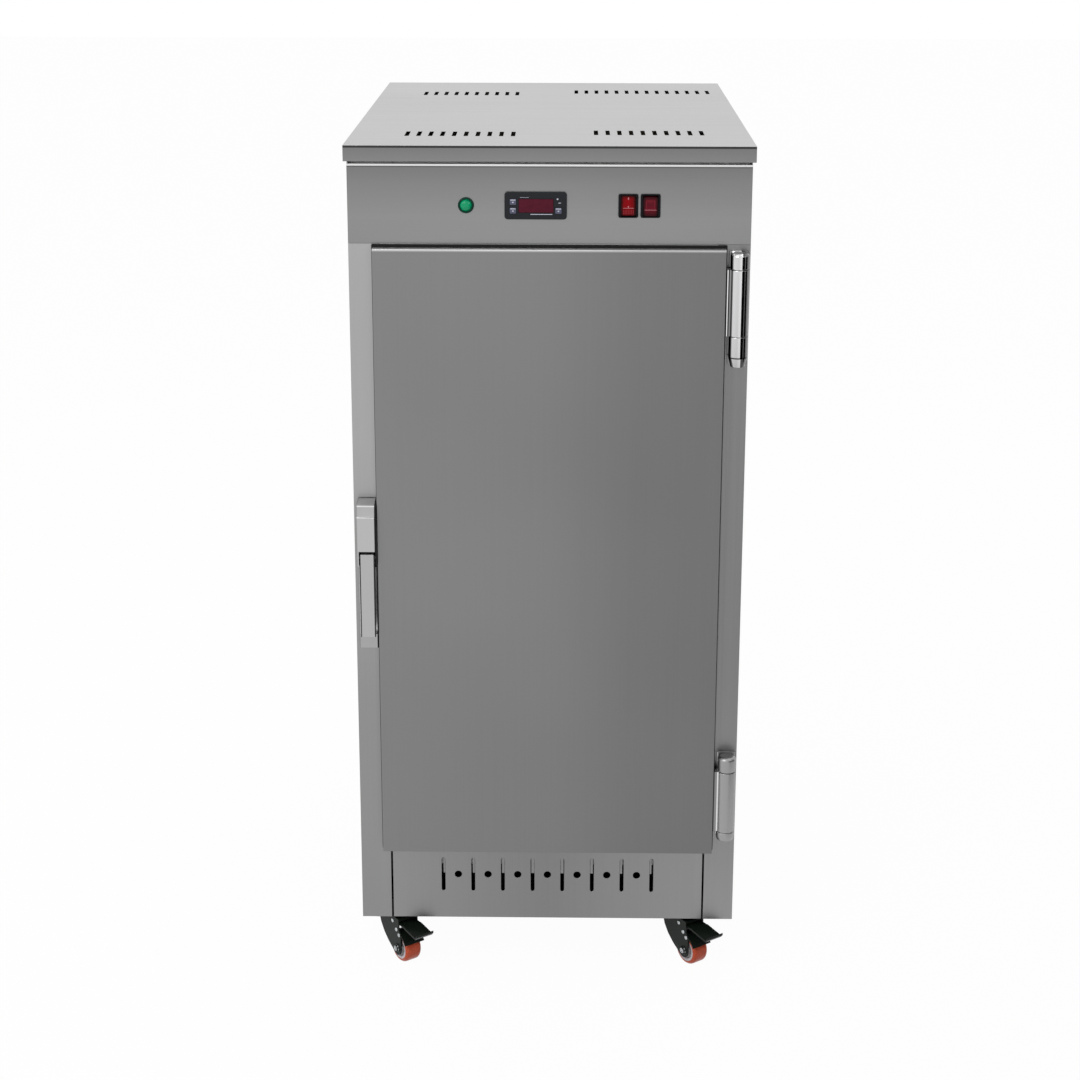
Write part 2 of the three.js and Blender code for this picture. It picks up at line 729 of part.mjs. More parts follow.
// Control panel: the full-width fascia above the door, with a return behind its top edge
// that rises to the lid

const controlPanelReturn = 18;
const instrumentRise = 48;
const instrumentLevel = controlPanelBottom + instrumentRise;
const thermostatX = - 16.8;
const thermostatWidth = 77;
const thermostatHeight = 34;
const thermostatBodyWidth = 70;
const thermostatBodyHeight = 28;
const thermostatBodyDepth = 60;
const pilotX = - 103;
const pilotBodyRadius = 8.2;
const switchXs = [ 97.6, 125 ];
const switchWidth = 24.6;
const switchHeight = 29.4;
const switchBodyWidth = 22.2;
const switchBodyHeight = 28.6;
const switchBodyDepth = 22;

function controlPanel() {

	const plate = block( - half, half, 0, sheet, controlPanelBottom, controlPanelTop );
	const bottomReturn = block( - innerHalf, innerHalf, 0, controlPanelReturn,
		controlPanelBottom, controlPanelBottom + sheet );
	const topReturn = block( - innerHalf, innerHalf, 0, controlPanelReturn,
		controlPanelTop - sheet, controlPanelTop );
	const riser = block( - innerHalf, innerHalf, controlPanelReturn - sheet, controlPanelReturn,
		controlPanelTop - sheet, bodyTop );
	const opening = ( x, width, height ) => block( x - width / 2 - fit, x + width / 2 + fit, - overrun,
		sheet + overrun, instrumentLevel - height / 2 - fit, instrumentLevel + height / 2 + fit );
	piece( 'control_panel', cut( joined( plate, bottomReturn, topReturn, riser ),
		opening( thermostatX, thermostatBodyWidth, thermostatBodyHeight ),
		...switchXs.map( ( x ) => opening( x, switchBodyWidth, switchBodyHeight ) ),
		rod( 'y', pilotX, instrumentLevel, pilotBodyRadius + fit, - overrun, sheet + overrun ) ), brushedSteel );

}

// Pilot lamp: a ring with a threaded barrel behind the panel, and a domed lens in it

const pilotRadius = 10;
const pilotFlange = 2;
const pilotDepth = 22;
const lensRadius = 7.4;
const lensDome = 3;
const lensSeat = 4;

function pilotLamp() {

	const bore = lensRadius + fit;
	const ring = [ [ 0, pilotDepth ], [ pilotBodyRadius, pilotDepth ], [ pilotBodyRadius, - fit ],
		[ pilotRadius, - fit ], [ pilotRadius, - pilotFlange / 2 - fit ], [ pilotRadius - pilotFlange / 2,
			- pilotFlange - fit ], [ bore, - pilotFlange - fit ], [ bore, lensSeat + fit ], [ 0, lensSeat + fit ] ];
	const domeShares = [ [ 1, 0 ], [ 0.85, 0.5 ], [ 0.5, 0.87 ], [ 0, 1 ] ];
	const lens = [ [ 0, lensSeat ], [ lensRadius, lensSeat ], ...domeShares.map( ( [ out, rise ] ) =>
		[ lensRadius * out, - pilotFlange - lensDome * rise ] ) ];
	piece( 'pilot_ring', turned( ring, 'y', pilotX, instrumentLevel, wheelSides ), blackPlastic );
	piece( 'pilot_lens', turned( lens, 'y', pilotX, instrumentLevel, wheelSides ), greenLens );

}

// Thermostat: a housing through the panel, a red window over the display and three keys

const bezelThickness = 3.2;
const bezelCorner = 4;
const windowWidth = 42.6;
const windowHeight = 16.8;
const windowOffset = 0.5;
const windowThickness = 1;
const keyWidth = 8;
const keyHeight = 7.4;
const keyProud = 0.6;
const keyThickness = 2.8;
const keyTravel = 0.8;
const keys = [
	{ name: 'thermostat_key_up', acrossShare: - 0.365, riseShare: 0.14 },
	{ name: 'thermostat_key_down', acrossShare: - 0.365, riseShare: - 0.18 },
	{ name: 'thermostat_key_set', acrossShare: 0.365, riseShare: - 0.18 }
];

function thermostat() {

	const face = - fit - bezelThickness;
	const x = thermostatX;
	const z = instrumentLevel;
	const room = ( sideways, level, width, height, back ) => block( sideways - width / 2, sideways + width / 2,
		face - overrun, back, level - height / 2, level + height / 2 );
	const bezel = prism( roundedRectangle( x, z, thermostatWidth, thermostatHeight, bezelCorner ), 'y',
		face, - fit );
	const body = block( x - thermostatBodyWidth / 2, x + thermostatBodyWidth / 2, - fit * 2, thermostatBodyDepth,
		z - thermostatBodyHeight / 2, z + thermostatBodyHeight / 2 );
	const windowRoom = room( x + windowOffset, z, windowWidth + fit * 2, windowHeight + fit * 2,
		face + windowThickness + fit );
	const keyBack = face - keyProud + keyThickness;
	const keyRooms = keys.map( ( { acrossShare, riseShare } ) => room( x + thermostatWidth * acrossShare,
		z + thermostatHeight * riseShare, keyWidth + fit * 2, keyHeight + fit * 2, keyBack + keyTravel + fit ) );
	piece( 'thermostat_housing', cut( joined( bezel, body ), windowRoom, ...keyRooms ), charcoalPlastic );
	piece( 'thermostat_window', block( x + windowOffset - windowWidth / 2, x + windowOffset + windowWidth / 2,
		face, face + windowThickness, z - windowHeight / 2, z + windowHeight / 2 ), windowRed );
	keys.forEach( ( { name, acrossShare, riseShare } ) => {

		const keyX = x + thermostatWidth * acrossShare;
		const keyZ = z + thermostatHeight * riseShare;
		piece( name, block( keyX - keyWidth / 2, keyX + keyWidth / 2, face - keyProud, keyBack,
			keyZ - keyHeight / 2, keyZ + keyHeight / 2 ), buttonGrey );

	} );

}

// Rocker switches: a housing through the panel and a rocker that tips on a cross pin

const switchBezel = 2.4;
const rockerWidth = 18.4;
const rockerHalf = 12.2;
const rockerTilt = 8;
const rockerFront = 5.4;
const rockerDish = 1.8;
const rockerBack = 6;
const rockerHeel = 2;
const rockerHeelHalf = 3;
const rockerPivot = 1.5;
const rockerRoom = 1.1;

function rockerSwitch( housingName, rockerName, x, tilt, material ) {

	const z = instrumentLevel;
	const bezel = prism( roundedRectangle( x, z, switchWidth, switchHeight, switchBezel ), 'y',
		- fit - switchBezel, - fit );
	const body = block( x - switchBodyWidth / 2, x + switchBodyWidth / 2, - fit * 2, switchBodyDepth,
		z - switchBodyHeight / 2, z + switchBodyHeight / 2 );
	const room = block( x - rockerWidth / 2 - fit, x + rockerWidth / 2 + fit, - fit - switchBezel - overrun,
		rockerPivot + rockerBack + rockerRoom, z - rockerHalf - rockerRoom, z + rockerHalf + rockerRoom );
	piece( housingName, cut( joined( bezel, body ), room ), blackPlastic );
	const profile = outline( [ [ - rockerFront, - rockerHalf ], [ rockerHeel, - rockerHalf ],
		[ rockerBack, - rockerHeelHalf ], [ rockerBack, rockerHeelHalf ], [ rockerHeel, rockerHalf ],
		[ - rockerFront, rockerHalf ], [ rockerDish - rockerFront, 0 ] ] );
	const rocker = piece( rockerName, prism( profile, 'x', - rockerWidth / 2, rockerWidth / 2 ), material );
	rocker.position.set( x, rockerPivot, z );
	rocker.rotation.x = THREE.MathUtils.degToRad( tilt );

}

// Door: an outer skin, a liner with a plug that reaches into the chamber mouth, wool
// between them and a rubber gasket behind the edge

const plugSideGap = 14.2;
const plugHalf = chamberHalf - plugSideGap;
const plugDepth = 18;
const plugGap = 8;
const gasketLip = 1.8;
const gasketTopLip = 3;
const gasketInner = 3;
const doorInnerHalf = doorHalf - sheet - fit;
const plugBottom = floorLevel + plugGap;
const plugTop = ceilingLevel - plugGap;

function door() {

	const skin = block( - doorHalf, doorHalf, doorFront, doorBack, doorBottom, doorTop );
	const skinRoom = block( sheet - doorHalf, doorHalf - sheet, doorFront + sheet, doorBack + overrun,
		doorBottom + sheet, doorTop - sheet );
	piece( 'door_skin', cut( skin, skinRoom ), brushedSteel );
	const z0 = doorBottom + sheet + fit;
	const z1 = doorTop - sheet - fit;
	const flange = block( - doorInnerHalf, doorInnerHalf, doorBack - linerSheet, doorBack, z0, z1 );
	const plug = block( - plugHalf, plugHalf, doorBack - linerSheet, plugDepth, plugBottom, plugTop );
	const plugRoom = block( linerSheet - plugHalf, plugHalf - linerSheet, doorBack - linerSheet - overrun,
		plugDepth - linerSheet, plugBottom + linerSheet, plugTop - linerSheet );
	piece( 'door_liner', cut( joined( flange, plug ), plugRoom ), linerSteel );
	const woolBack = doorBack - linerSheet - fit;
	const slab = block( - doorInnerHalf, doorInnerHalf, doorFront + sheet + fit, woolBack, z0, z1 );
	const margin = linerSheet + fit;
	const filling = block( margin - plugHalf, plugHalf - margin, woolBack - fit, plugDepth - margin,
		plugBottom + margin, plugTop - margin );
	piece( 'door_insulation', joined( slab, filling ), mineralWool );
	const gasket = block( - doorHalf - gasketLip, doorHalf + gasketLip, doorBack + fit, - fit,
		doorBottom - gasketLip, doorTop + gasketTopLip );
	const gasketRoom = block( - plugHalf - gasketInner, plugHalf + gasketInner, doorBack - overrun, overrun,
		plugBottom - gasketInner, plugTop + gasketInner );
	piece( 'door_gasket', cut( gasket, gasketRoom ), gasketRubber );

}

// Hinges: each has a frame leaf on the stile, with knuckle, cap and pin, and a door leaf
// whose barrel turns on the pin

const hingeRadius = 12;
const hingeGap = 5;
const hingeX = doorHalf + hingeGap + hingeRadius;
const hingeY = - 14;
const hingePin = 4;
const hingePlate = 1.2;
const hingeWebHalf = 8;
const hingePlay = 0.4;
const hingeFlangeFront = 5;
const hingeFlangeBack = 6;
const capRound = 4;
const topHingeDrop = 148;
const topFoot = 12.5;
const topKnuckle = 26.5;
const topBarrel = 85;
const topCap = 20.5;
const bottomHingeRise = 20;
const bottomFoot = 5;
const bottomKnuckle = 7;
const bottomBarrel = 86;
const bottomCap = 21;
const hinges = [
	{ place: 'top', base: doorTop - topHingeDrop, foot: topFoot, knuckle: topKnuckle,
		barrel: topBarrel, cap: topCap },
	{ place: 'bottom', base: doorBottom + bottomHingeRise, foot: bottomFoot, knuckle: bottomKnuckle,
		barrel: bottomBarrel, cap: bottomCap }
];

function hinge( { place, base, foot, knuckle, barrel, cap } ) {

	const knuckleTop = base + foot + knuckle;
	const barrelTop = knuckleTop + barrel;
	const top = barrelTop + cap;
	const footRadius = hingeRadius - foot / 4;
	const lower = turned( [ [ 0, base ], [ footRadius, base ], [ hingeRadius, base + foot ],
		[ hingeRadius, knuckleTop ], [ 0, knuckleTop ] ], 'z', hingeX, hingeY );
	const upper = turned( [ [ 0, barrelTop ], [ hingeRadius, barrelTop ], [ hingeRadius, top - capRound ],
		[ hingeRadius - capRound / 3, top - capRound / 3 ], [ hingeRadius - capRound, top ], [ 0, top ] ],
	'z', hingeX, hingeY );
	const pin = rod( 'z', hingeX, hingeY, hingePin, base + foot, barrelTop + cap / 2 );
	const plate = block( hingeX - hingeRadius, hingeX + hingeRadius, - fit - hingePlate, - fit, base, top );
	const web = ( z0, z1 ) => block( hingeX - hingeWebHalf, hingeX + hingeWebHalf, hingeY, - fit, z0, z1 );
	piece( `hinge_${ place }_frame_leaf`, joined( lower, upper, pin, plate, web( base + foot, knuckleTop ),
		web( barrelTop, top - capRound ) ), chrome );
	const z0 = knuckleTop + hingePlay;
	const z1 = barrelTop - hingePlay;
	const shell = rod( 'z', hingeX, hingeY, hingeRadius, z0, z1 );
	const flange = block( doorHalf + fit, hingeX, hingeY - hingeFlangeFront, hingeY + hingeFlangeBack, z0, z1 );
	const bore = rod( 'z', hingeX, hingeY, hingePin + fit, z0 - overrun, z1 + overrun );
	piece( `hinge_${ place }_door_leaf`, cut( joined( shell, flange ), bore ), chrome );

}

// Latch: a body on the edge of the door, a grip lever on a cross pin whose hook holds
// a bar, and the keeper with that bar on the stile

const latchWidth = 25;
const latchProud = 28;
const latchBack = 2;
const latchRise = 287;
const latchLength = 201;
const latchBottom = doorBottom + latchRise;
const latchTop = latchBottom + latchLength;
const latchCheek = 2;
const latchBevel = 18.5;
const latchStep = latchTop - latchBevel;
const cheekFront = 12;
const pocketBack = 5;
const pocketRise = 19;
const pocketBottom = latchBottom + pocketRise;
const pivotRise = 127.5;
const pivotLevel = latchBottom + pivotRise;
const pivotDepth = 20;
const pivotPin = 3;
const hubRadius = 6;
const latchSlope = 4;
const gripThickness = 4;
const gripTopRise = 5.5;
const gripTipGap = 2;
const gripClear = 1;
const wallRise = 9.2;
const cheekDrop = 11;
const cavityRise = 46;
const cavityDrop = 19;
const hookHalf = 4;
const hookTip = 2.4;
const hookTooth = 2.7;
const hookDrop = 6.5;
const hookToothRise = 3.5;
const keeperRise = 2;
const keeperDepth = 8;
const keeperBar = 2.5;
const keeperPlay = 0.4;
const keeperHalf = 8.5;
const keeperEar = 2;
const keeperPlate = 1.2;
const latchX = - doorHalf - fit - latchWidth / 2;
const pocketHalf = latchWidth / 2 - latchCheek;
const barLevel = pivotLevel + keeperRise;

function latchBody() {

	const x0 = latchX - latchWidth / 2;
	const x1 = latchX + latchWidth / 2;
	const chin = pivotLevel - cheekDrop;
	const head = outline( [ [ - latchBack, chin ], [ - latchProud, chin ], [ - latchProud, latchStep ],
		[ latchSlope / 2 - latchProud, latchStep + latchSlope / 4 ],
		[ latchSlope - latchProud, latchTop - latchSlope ], [ - latchBack - latchSlope, latchTop ],
		[ - latchBack, latchTop ] ] );
	const tail = block( x0, x1, - cheekFront, - latchBack, latchBottom, chin + overrun );
	const pocket = ( z0, z1 ) => block( latchX - pocketHalf, latchX + pocketHalf, - latchProud - overrun,
		- pocketBack, z0, z1 );
	const cavity = block( latchX - pocketHalf, latchX + pocketHalf, gripThickness - latchProud, overrun,
		pivotLevel - cavityDrop, pivotLevel + cavityRise );
	const gasketRoom = block( - doorHalf - gasketLip - fit, overrun - doorHalf, doorBack, overrun,
		latchBottom - overrun, latchTop + overrun );
	const pin = rod( 'x', - pivotDepth, pivotLevel, pivotPin, x0 + fit, x1 - fit, pinSides );
	const shell = cut( joined( prism( head, 'x', x0, x1 ), tail ),
		pocket( pocketBottom, pivotLevel + wallRise ), cavity, gasketRoom );
	piece( 'latch_body', joined( shell, pin ), satinSteel );

}

function latchLever() {

	const gripHalf = pocketHalf - gripClear;
	const armTop = barLevel - keeperBar - keeperPlay;
	const grip = block( latchX - gripHalf, latchX + gripHalf, - latchProud, gripThickness - latchProud,
		pocketBottom + gripTipGap, pivotLevel + gripTopRise );
	const hub = rod( 'x', - pivotDepth, pivotLevel, hubRadius, latchX - gripHalf, latchX + gripHalf );
	const toothFace = - hookTip - hookTooth;
	const hook = outline( [ [ - pivotDepth, pivotLevel - hookDrop ], [ - hookTip, pivotLevel - hookDrop ],
		[ - hookTip, pivotLevel + hookToothRise ], [ toothFace, pivotLevel + hookToothRise ],
		[ toothFace, armTop ], [ - pivotDepth, armTop ] ] );
	const bore = rod( 'x', - pivotDepth, pivotLevel, pivotPin + fit, latchX - latchWidth,
		latchX + latchWidth, pinSides );
	piece( 'latch_lever', cut( joined( grip, hub, prism( hook, 'x', latchX - hookHalf, latchX + hookHalf ) ),
		bore ), satinSteel );

}

function latchKeeper() {

	const face = - fit - keeperPlate;
	const plate = block( latchX - keeperHalf, latchX + keeperHalf, face, - fit,
		pivotLevel - cavityDrop / 2, pivotLevel + cavityRise - overrun );
	const earOuter = hookHalf + keeperEar * 2;
	const ears = [ - 1, 1 ].map( ( side ) => {

		const edge = latchX + side * earOuter;
		return block( Math.min( edge, edge - side * keeperEar ), Math.max( edge, edge - side * keeperEar ),
			- keeperDepth - keeperBar, face + fit, barLevel - keeperBar * 2, barLevel + keeperBar * 2 );

	} );
	const bar = rod( 'x', - keeperDepth, barLevel, keeperBar, latchX - earOuter + fit,
		latchX + earOuter - fit, pinSides );
	piece( 'latch_keeper', joined( plate, ...ears, bar ), zincSteel );

}

// Casters: under each plate of the base frame a swivelling fork with its axle, a wheel with
// a moulded-on tread, and on the front pair a brake pedal. Each is built trailing to -Y
// about the swivel axis, and then turned.

const casterTurn = 36;
const casterTrail = 22;
const leftInset = 44.5;
const rightInset = 65.5;
const casterInset = 30;
const plateThickness = 2.5;
const plateHalf = 26;
const casterNeck = 13;
const casterNeckRise = 2;
const wheelRadius = 21;
const wheelWidth = 24;
const treadThickness = 6;
const treadEdge = 3;
const treadProud = 0.6;
const wheelDish = 3;
const wheelRim = 3;
const wheelHub = 6;
const axleRadius = 3;
const axleHead = 5.5;
const axleHeadLength = 2.4;
const forkSheet = 2;
const forkClear = 1.5;
const forkBack = 23;
const forkFront = 27;
const forkBoss = 10;
const hoodDrop = 4;
const guardClear = 2;
const guardSheet = 1.6;
const guardFront = THREE.MathUtils.degToRad( 152 );
const guardBack = THREE.MathUtils.degToRad( 70 );
const casterSpots = [
	{ name: 'front_left', insetX: leftInset, side: - 1, backShare: 0, braked: true },
	{ name: 'front_right', insetX: rightInset, side: 1, backShare: 0, braked: true },
	{ name: 'rear_left', insetX: leftInset, side: - 1, backShare: 1, braked: false },
	{ name: 'rear_right', insetX: rightInset, side: 1, backShare: 1, braked: false }
];
const forkTop = casterHeight - plateThickness - fit - casterNeckRise;
const pedalPivotY = - 12;
const pedalPivotDrop = 7;
const pedalPivot = forkTop - pedalPivotDrop;
const pedalPin = 2;
const pedalHub = 4;
const pedalReach = 70;
const pedalThickness = 2.6;
const pedalWaist = 38;
const pedalDip = 3.5;
const pedalLip = 4;
const pedalHalf = 13.5;

function forkCheek() {

	const shape = new THREE.Shape();
	shape.moveTo( forkBack, forkTop );
	shape.lineTo( - forkFront, forkTop );
	shape.lineTo( - forkFront, forkTop - forkBoss - hoodDrop );
	shape.lineTo( - casterTrail - forkBoss, wheelRadius + forkBoss * 2 );
	shape.lineTo( - casterTrail - forkBoss, wheelRadius );
	shape.absarc( - casterTrail, wheelRadius, forkBoss, Math.PI, Math.PI * 7 / 4 );
	shape.quadraticCurveTo( forkBack - forkBoss / 2, wheelRadius + forkBoss, forkBack, forkTop - forkBoss );
	return shape;

}

function wheelGuard() {

	const inner = wheelRadius + guardClear;
	const shape = new THREE.Shape();
	shape.absarc( - casterTrail, wheelRadius, inner + guardSheet, guardBack, guardFront );
	shape.absarc( - casterTrail, wheelRadius, inner, guardFront, guardBack, true );
	return shape;

}

function casterFork( name, group, braked ) {

	const inner = wheelWidth / 2 + forkClear;
	const outer = inner + forkSheet;
	const cheeks = [ - 1, 1 ].map( ( side ) => prism( forkCheek(), 'x', ...across( side, inner, outer ) ) );
	const roof = block( - outer, outer, - forkFront, forkBack, forkTop - forkSheet, forkTop );
	const rear = block( - outer, outer, forkBack - forkSheet, forkBack, forkTop - forkBoss, forkTop );
	const brow = block( - outer, outer, - forkFront, forkSheet - forkFront, forkTop - hoodDrop, forkTop );
	const guard = prism( wheelGuard(), 'x', fit - outer, outer - fit );
	const neck = rod( 'z', 0, 0, casterNeck, forkTop - forkSheet, forkTop + casterNeckRise );
	const axle = rod( 'x', - casterTrail, wheelRadius, axleRadius, - outer, outer, smallSides );
	const heads = [ - 1, 1 ].map( ( side ) => rod( 'x', - casterTrail, wheelRadius, axleHead,
		...across( side, outer - fit, outer + axleHeadLength ), rivetSides ) );
	const rivet = rod( 'x', pedalPivotY, pedalPivot, pedalPin, - outer - fit, outer + fit, rivetSides );
	const rivets = braked ? [ rivet ] : [];
	piece( name, joined( ...cheeks, roof, rear, brow, guard, neck, axle, ...heads, ...rivets ), paintedSteel, group );

}

function casterWheel( name, group ) {

	const coreRadius = wheelRadius - treadThickness;
	const coreHalf = wheelWidth / 2 - treadProud;
	const treadHalf = wheelWidth / 2;
	const right = [ [ wheelHub, coreHalf ], [ wheelHub, coreHalf - wheelDish ],
		[ coreRadius - wheelRim, coreHalf - wheelDish ], [ coreRadius, treadHalf ],
		[ wheelRadius - treadEdge, treadHalf ], [ wheelRadius, treadHalf - treadEdge ] ];
	const left = right.map( ( [ radius, place ] ) => [ radius, - place ] ).reverse();
	const bore = axleRadius + fit;
	const wheel = [ [ bore, - coreHalf ], [ bore, coreHalf ], ...right, ...left, [ bore, - coreHalf ] ];
	piece( name, turned( wheel, 'x', - casterTrail, wheelRadius, wheelSides ), orangeTread, group );

}

function brakePedal( name, group ) {

	const rootHalf = wheelWidth / 2 + forkClear - fit * 2;
	const low = pedalPivot - pedalThickness;
	const side = outline( [ [ pedalPivotY, pedalPivot ], [ pedalPivotY, low ], [ - pedalWaist, low ],
		[ pedalDip - pedalReach, low - pedalDip ], [ - pedalReach, low - pedalDip + pedalLip ],
		[ - pedalReach, low + pedalLip ], [ pedalDip - pedalReach, low - pedalDip + pedalThickness ],
		[ - pedalWaist, pedalPivot ] ] );
	const plate = prism( side, 'x', - pedalHalf, pedalHalf );
	const waists = [ - 1, 1 ].map( ( hand ) => block( ...across( hand, rootHalf, pedalHalf + overrun ),
		- pedalWaist, pedalPivotY + overrun, low - overrun, pedalPivot + overrun ) );
	const hub = rod( 'x', pedalPivotY, pedalPivot, pedalHub, - rootHalf, rootHalf, smallSides );
	const bore = rod( 'x', pedalPivotY, pedalPivot, pedalPin + fit, - pedalHalf, pedalHalf, rivetSides );
	piece( name, cut( joined( cut( plate, ...waists ), hub ), bore ), paintedSteel, group );

}

const casterPlace = ( { insetX, side, backShare } ) =>
	[ side * ( half - insetX ), casterInset + ( bodyDepth - casterInset * 2 ) * backShare ];

function casterPlate( spot ) {

	const [ x, y ] = casterPlace( spot );
	return block( x - plateHalf, x + plateHalf, y - plateHalf, y + plateHalf,
		casterHeight - plateThickness, casterHeight + frameThickness / 2 );

}

function caster( spot ) {

	const { name, braked } = spot;
	const group = new THREE.Group();
	group.position.set( ...casterPlace( spot ), 0 );
	group.rotation.z = THREE.MathUtils.degToRad( casterTurn );
	cabinet.add( group );
	casterFork( `caster_${ name }_fork`, group, braked );
	casterWheel( `caster_${ name }_wheel`, group );
	if ( braked ) brakePedal( `caster_${ name }_brake_pedal`, group );

}

// The whole cabinet, from the outside in and then the door and the casters

topCover();
baseFrame();
sidePanel( 'side_panel_left', - 1 );
sidePanel( 'side_panel_right', 1 );
lowerFrontPanel();
airShutter();
backPanel();
powerInlet();
innerLiner();
insulation();
rack( 'rack_left', - 1 );
rack( 'rack_right', 1 );
shelfLevels.forEach( ( level, index ) => wireShelf( `wire_shelf_${ index + 1 }`, level ) );
waterPan();
temperatureProbe();
burner();
burnerCradle();
flameSpreader();
gasInlet();
gasValve();
gasPipe();
ignitionBox();
electrode();
controlPanel();
pilotLamp();
thermostat();
rockerSwitch( 'switch_left_housing', 'switch_left_rocker', switchXs[ 0 ], - rockerTilt, litRedPlastic );
rockerSwitch( 'switch_right_housing', 'switch_right_rocker', switchXs[ 1 ], rockerTilt, darkRedPlastic );
door();
hinges.forEach( hinge );
latchBody();
latchLever();
latchKeeper();
casterSpots.forEach( caster );

// The origin is the middle of the footprint, on the floor
const bounds = new THREE.Box3().setFromObject( cabinet, true );
const middle = bounds.getCenter( new THREE.Vector3() );
cabinet.position.set( - middle.x, - middle.y, - bounds.min.z );

export default cabinet;
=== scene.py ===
import bpy
import bmesh
import json
import math
import numpy as np
from mathutils import Matrix, Vector


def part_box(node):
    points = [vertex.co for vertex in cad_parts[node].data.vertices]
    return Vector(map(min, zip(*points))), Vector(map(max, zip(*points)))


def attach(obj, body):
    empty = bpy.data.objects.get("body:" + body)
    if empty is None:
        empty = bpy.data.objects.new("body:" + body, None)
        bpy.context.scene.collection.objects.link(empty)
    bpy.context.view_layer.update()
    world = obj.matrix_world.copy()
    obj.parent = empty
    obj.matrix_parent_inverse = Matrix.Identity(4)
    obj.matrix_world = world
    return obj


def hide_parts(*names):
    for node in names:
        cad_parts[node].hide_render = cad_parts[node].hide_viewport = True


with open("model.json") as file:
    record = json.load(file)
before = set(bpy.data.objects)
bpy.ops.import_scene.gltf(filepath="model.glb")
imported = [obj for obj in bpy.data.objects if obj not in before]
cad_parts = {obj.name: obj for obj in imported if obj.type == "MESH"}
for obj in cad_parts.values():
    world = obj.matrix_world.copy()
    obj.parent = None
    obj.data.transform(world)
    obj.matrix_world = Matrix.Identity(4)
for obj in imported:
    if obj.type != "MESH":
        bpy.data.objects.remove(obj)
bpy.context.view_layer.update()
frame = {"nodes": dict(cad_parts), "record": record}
record = frame["record"]
nodes = frame["nodes"]
bodyOf = {node: body for body, members in record["behaviour"]["bodies"].items() for node in members}
slotOf = {part["node"]: part["material_slot"] for part in record["subparts"]}
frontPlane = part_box("control_panel")[0].y  # the face of the fascia and the stiles
mm = 0.001
print("cabinet frame loaded")


# Materials


def newMaterial(name):
    made = bpy.data.materials.new(name)
    made.use_nodes = True
    shader = made.node_tree.nodes["Principled BSDF"]
    return made, made.node_tree, shader


contrast = (0.3, 0.7)  # the part of the noise's range that is spread over the two values


# Noise stretched by a scale along each object axis, squeezed between two values
def stretchedNoise(tree, scale, low, high, detail=3.0):
    coordinates = tree.nodes.new("ShaderNodeTexCoord")
    mapping = tree.nodes.new("ShaderNodeMapping")
    mapping.inputs["Scale"].default_value = scale
    noise = tree.nodes.new("ShaderNodeTexNoise")
    noise.inputs["Scale"].default_value = 1.0
    noise.inputs["Detail"].default_value = detail
    spread = tree.nodes.new("ShaderNodeMapRange")
    spread.inputs["From Min"].default_value = contrast[0]
    spread.inputs["From Max"].default_value = contrast[1]
    spread.inputs["To Min"].default_value = low
    spread.inputs["To Max"].default_value = high
    tree.links.new(coordinates.outputs["Object"], mapping.inputs["Vector"])
    tree.links.new(mapping.outputs["Vector"], noise.inputs["Vector"])
    tree.links.new(noise.outputs["Fac"], spread.inputs["Value"])
    return noise, spread


def bump(tree, shader, noise, strength, distance):
    node = tree.nodes.new("ShaderNodeBump")
    node.inputs["Strength"].default_value = strength
    node.inputs["Distance"].default_value = distance
    tree.links.new(noise.outputs["Fac"], node.inputs["Height"])
    tree.links.new(node.outputs["Normal"], shader.inputs["Normal"])


# Two tones mixed by a noise value
def twoTones(tree, shader, value, dark, light):
    ramp = tree.nodes.new("ShaderNodeValToRGB")
    ramp.color_ramp.elements[0].color = (*dark, 1)
    ramp.color_ramp.elements[1].color = (*light, 1)
    tree.links.new(value, ramp.inputs["Fac"])
    tree.links.new(ramp.outputs["Color"], shader.inputs["Base Color"])


def toned(colour, share):
    return tuple(channel * share for channel in colour)


grain = {
    "across": 3.0, "along": 900.0, "cloud": 3.5, "toneShare": 0.03, "roughSpread": 0.06, "bump": 0.07,
    "depth": 0.0002,
}
pebble = {"depth": 0.0003, "metalGloss": 0.5}
axisScale = {"x": (0, 1, 1), "y": (1, 0, 1), "z": (1, 1, 0)}


# A share that follows stops along one object axis, places in millimetres; above 1 it brightens
def shareAlong(tree, axis, stops):
    low, high = stops[0][0], stops[-1][0]
    offset = frontPlane if axis == "y" else 0.0
    coordinates = tree.nodes.new("ShaderNodeTexCoord")
    split = tree.nodes.new("ShaderNodeSeparateXYZ")
    reach = tree.nodes.new("ShaderNodeMapRange")
    reach.inputs["From Min"].default_value = low * mm + offset
    reach.inputs["From Max"].default_value = high * mm + offset
    ramp = tree.nodes.new("ShaderNodeValToRGB")
    ramp.color_ramp.elements.remove(ramp.color_ramp.elements[1])
    for index, (place, share) in enumerate(stops):
        position = (place - low) / (high - low)
        element = ramp.color_ramp.elements[0] if index == 0 else ramp.color_ramp.elements.new(position)
        element.position = position
        element.color = (share, share, share, 1)
    tree.links.new(coordinates.outputs["Object"], split.inputs["Vector"])
    tree.links.new(split.outputs[axis.upper()], reach.inputs["Value"])
    tree.links.new(reach.outputs["Result"], ramp.inputs["Fac"])
    return ramp.outputs["Color"]


# Paints light and shade into the base colour: multiplies it by shares that follow the object's axes
def paintLightAndShade(tree, shader, paintedLight):
    for axis, stops in paintedLight:
        before = shader.inputs["Base Color"].links[0].from_socket
        product = tree.nodes.new("ShaderNodeVectorMath")
        product.operation = "MULTIPLY"
        tree.links.new(before, product.inputs[0])
        tree.links.new(shareAlong(tree, axis, stops), product.inputs[1])
        tree.links.new(product.outputs["Vector"], shader.inputs["Base Color"])


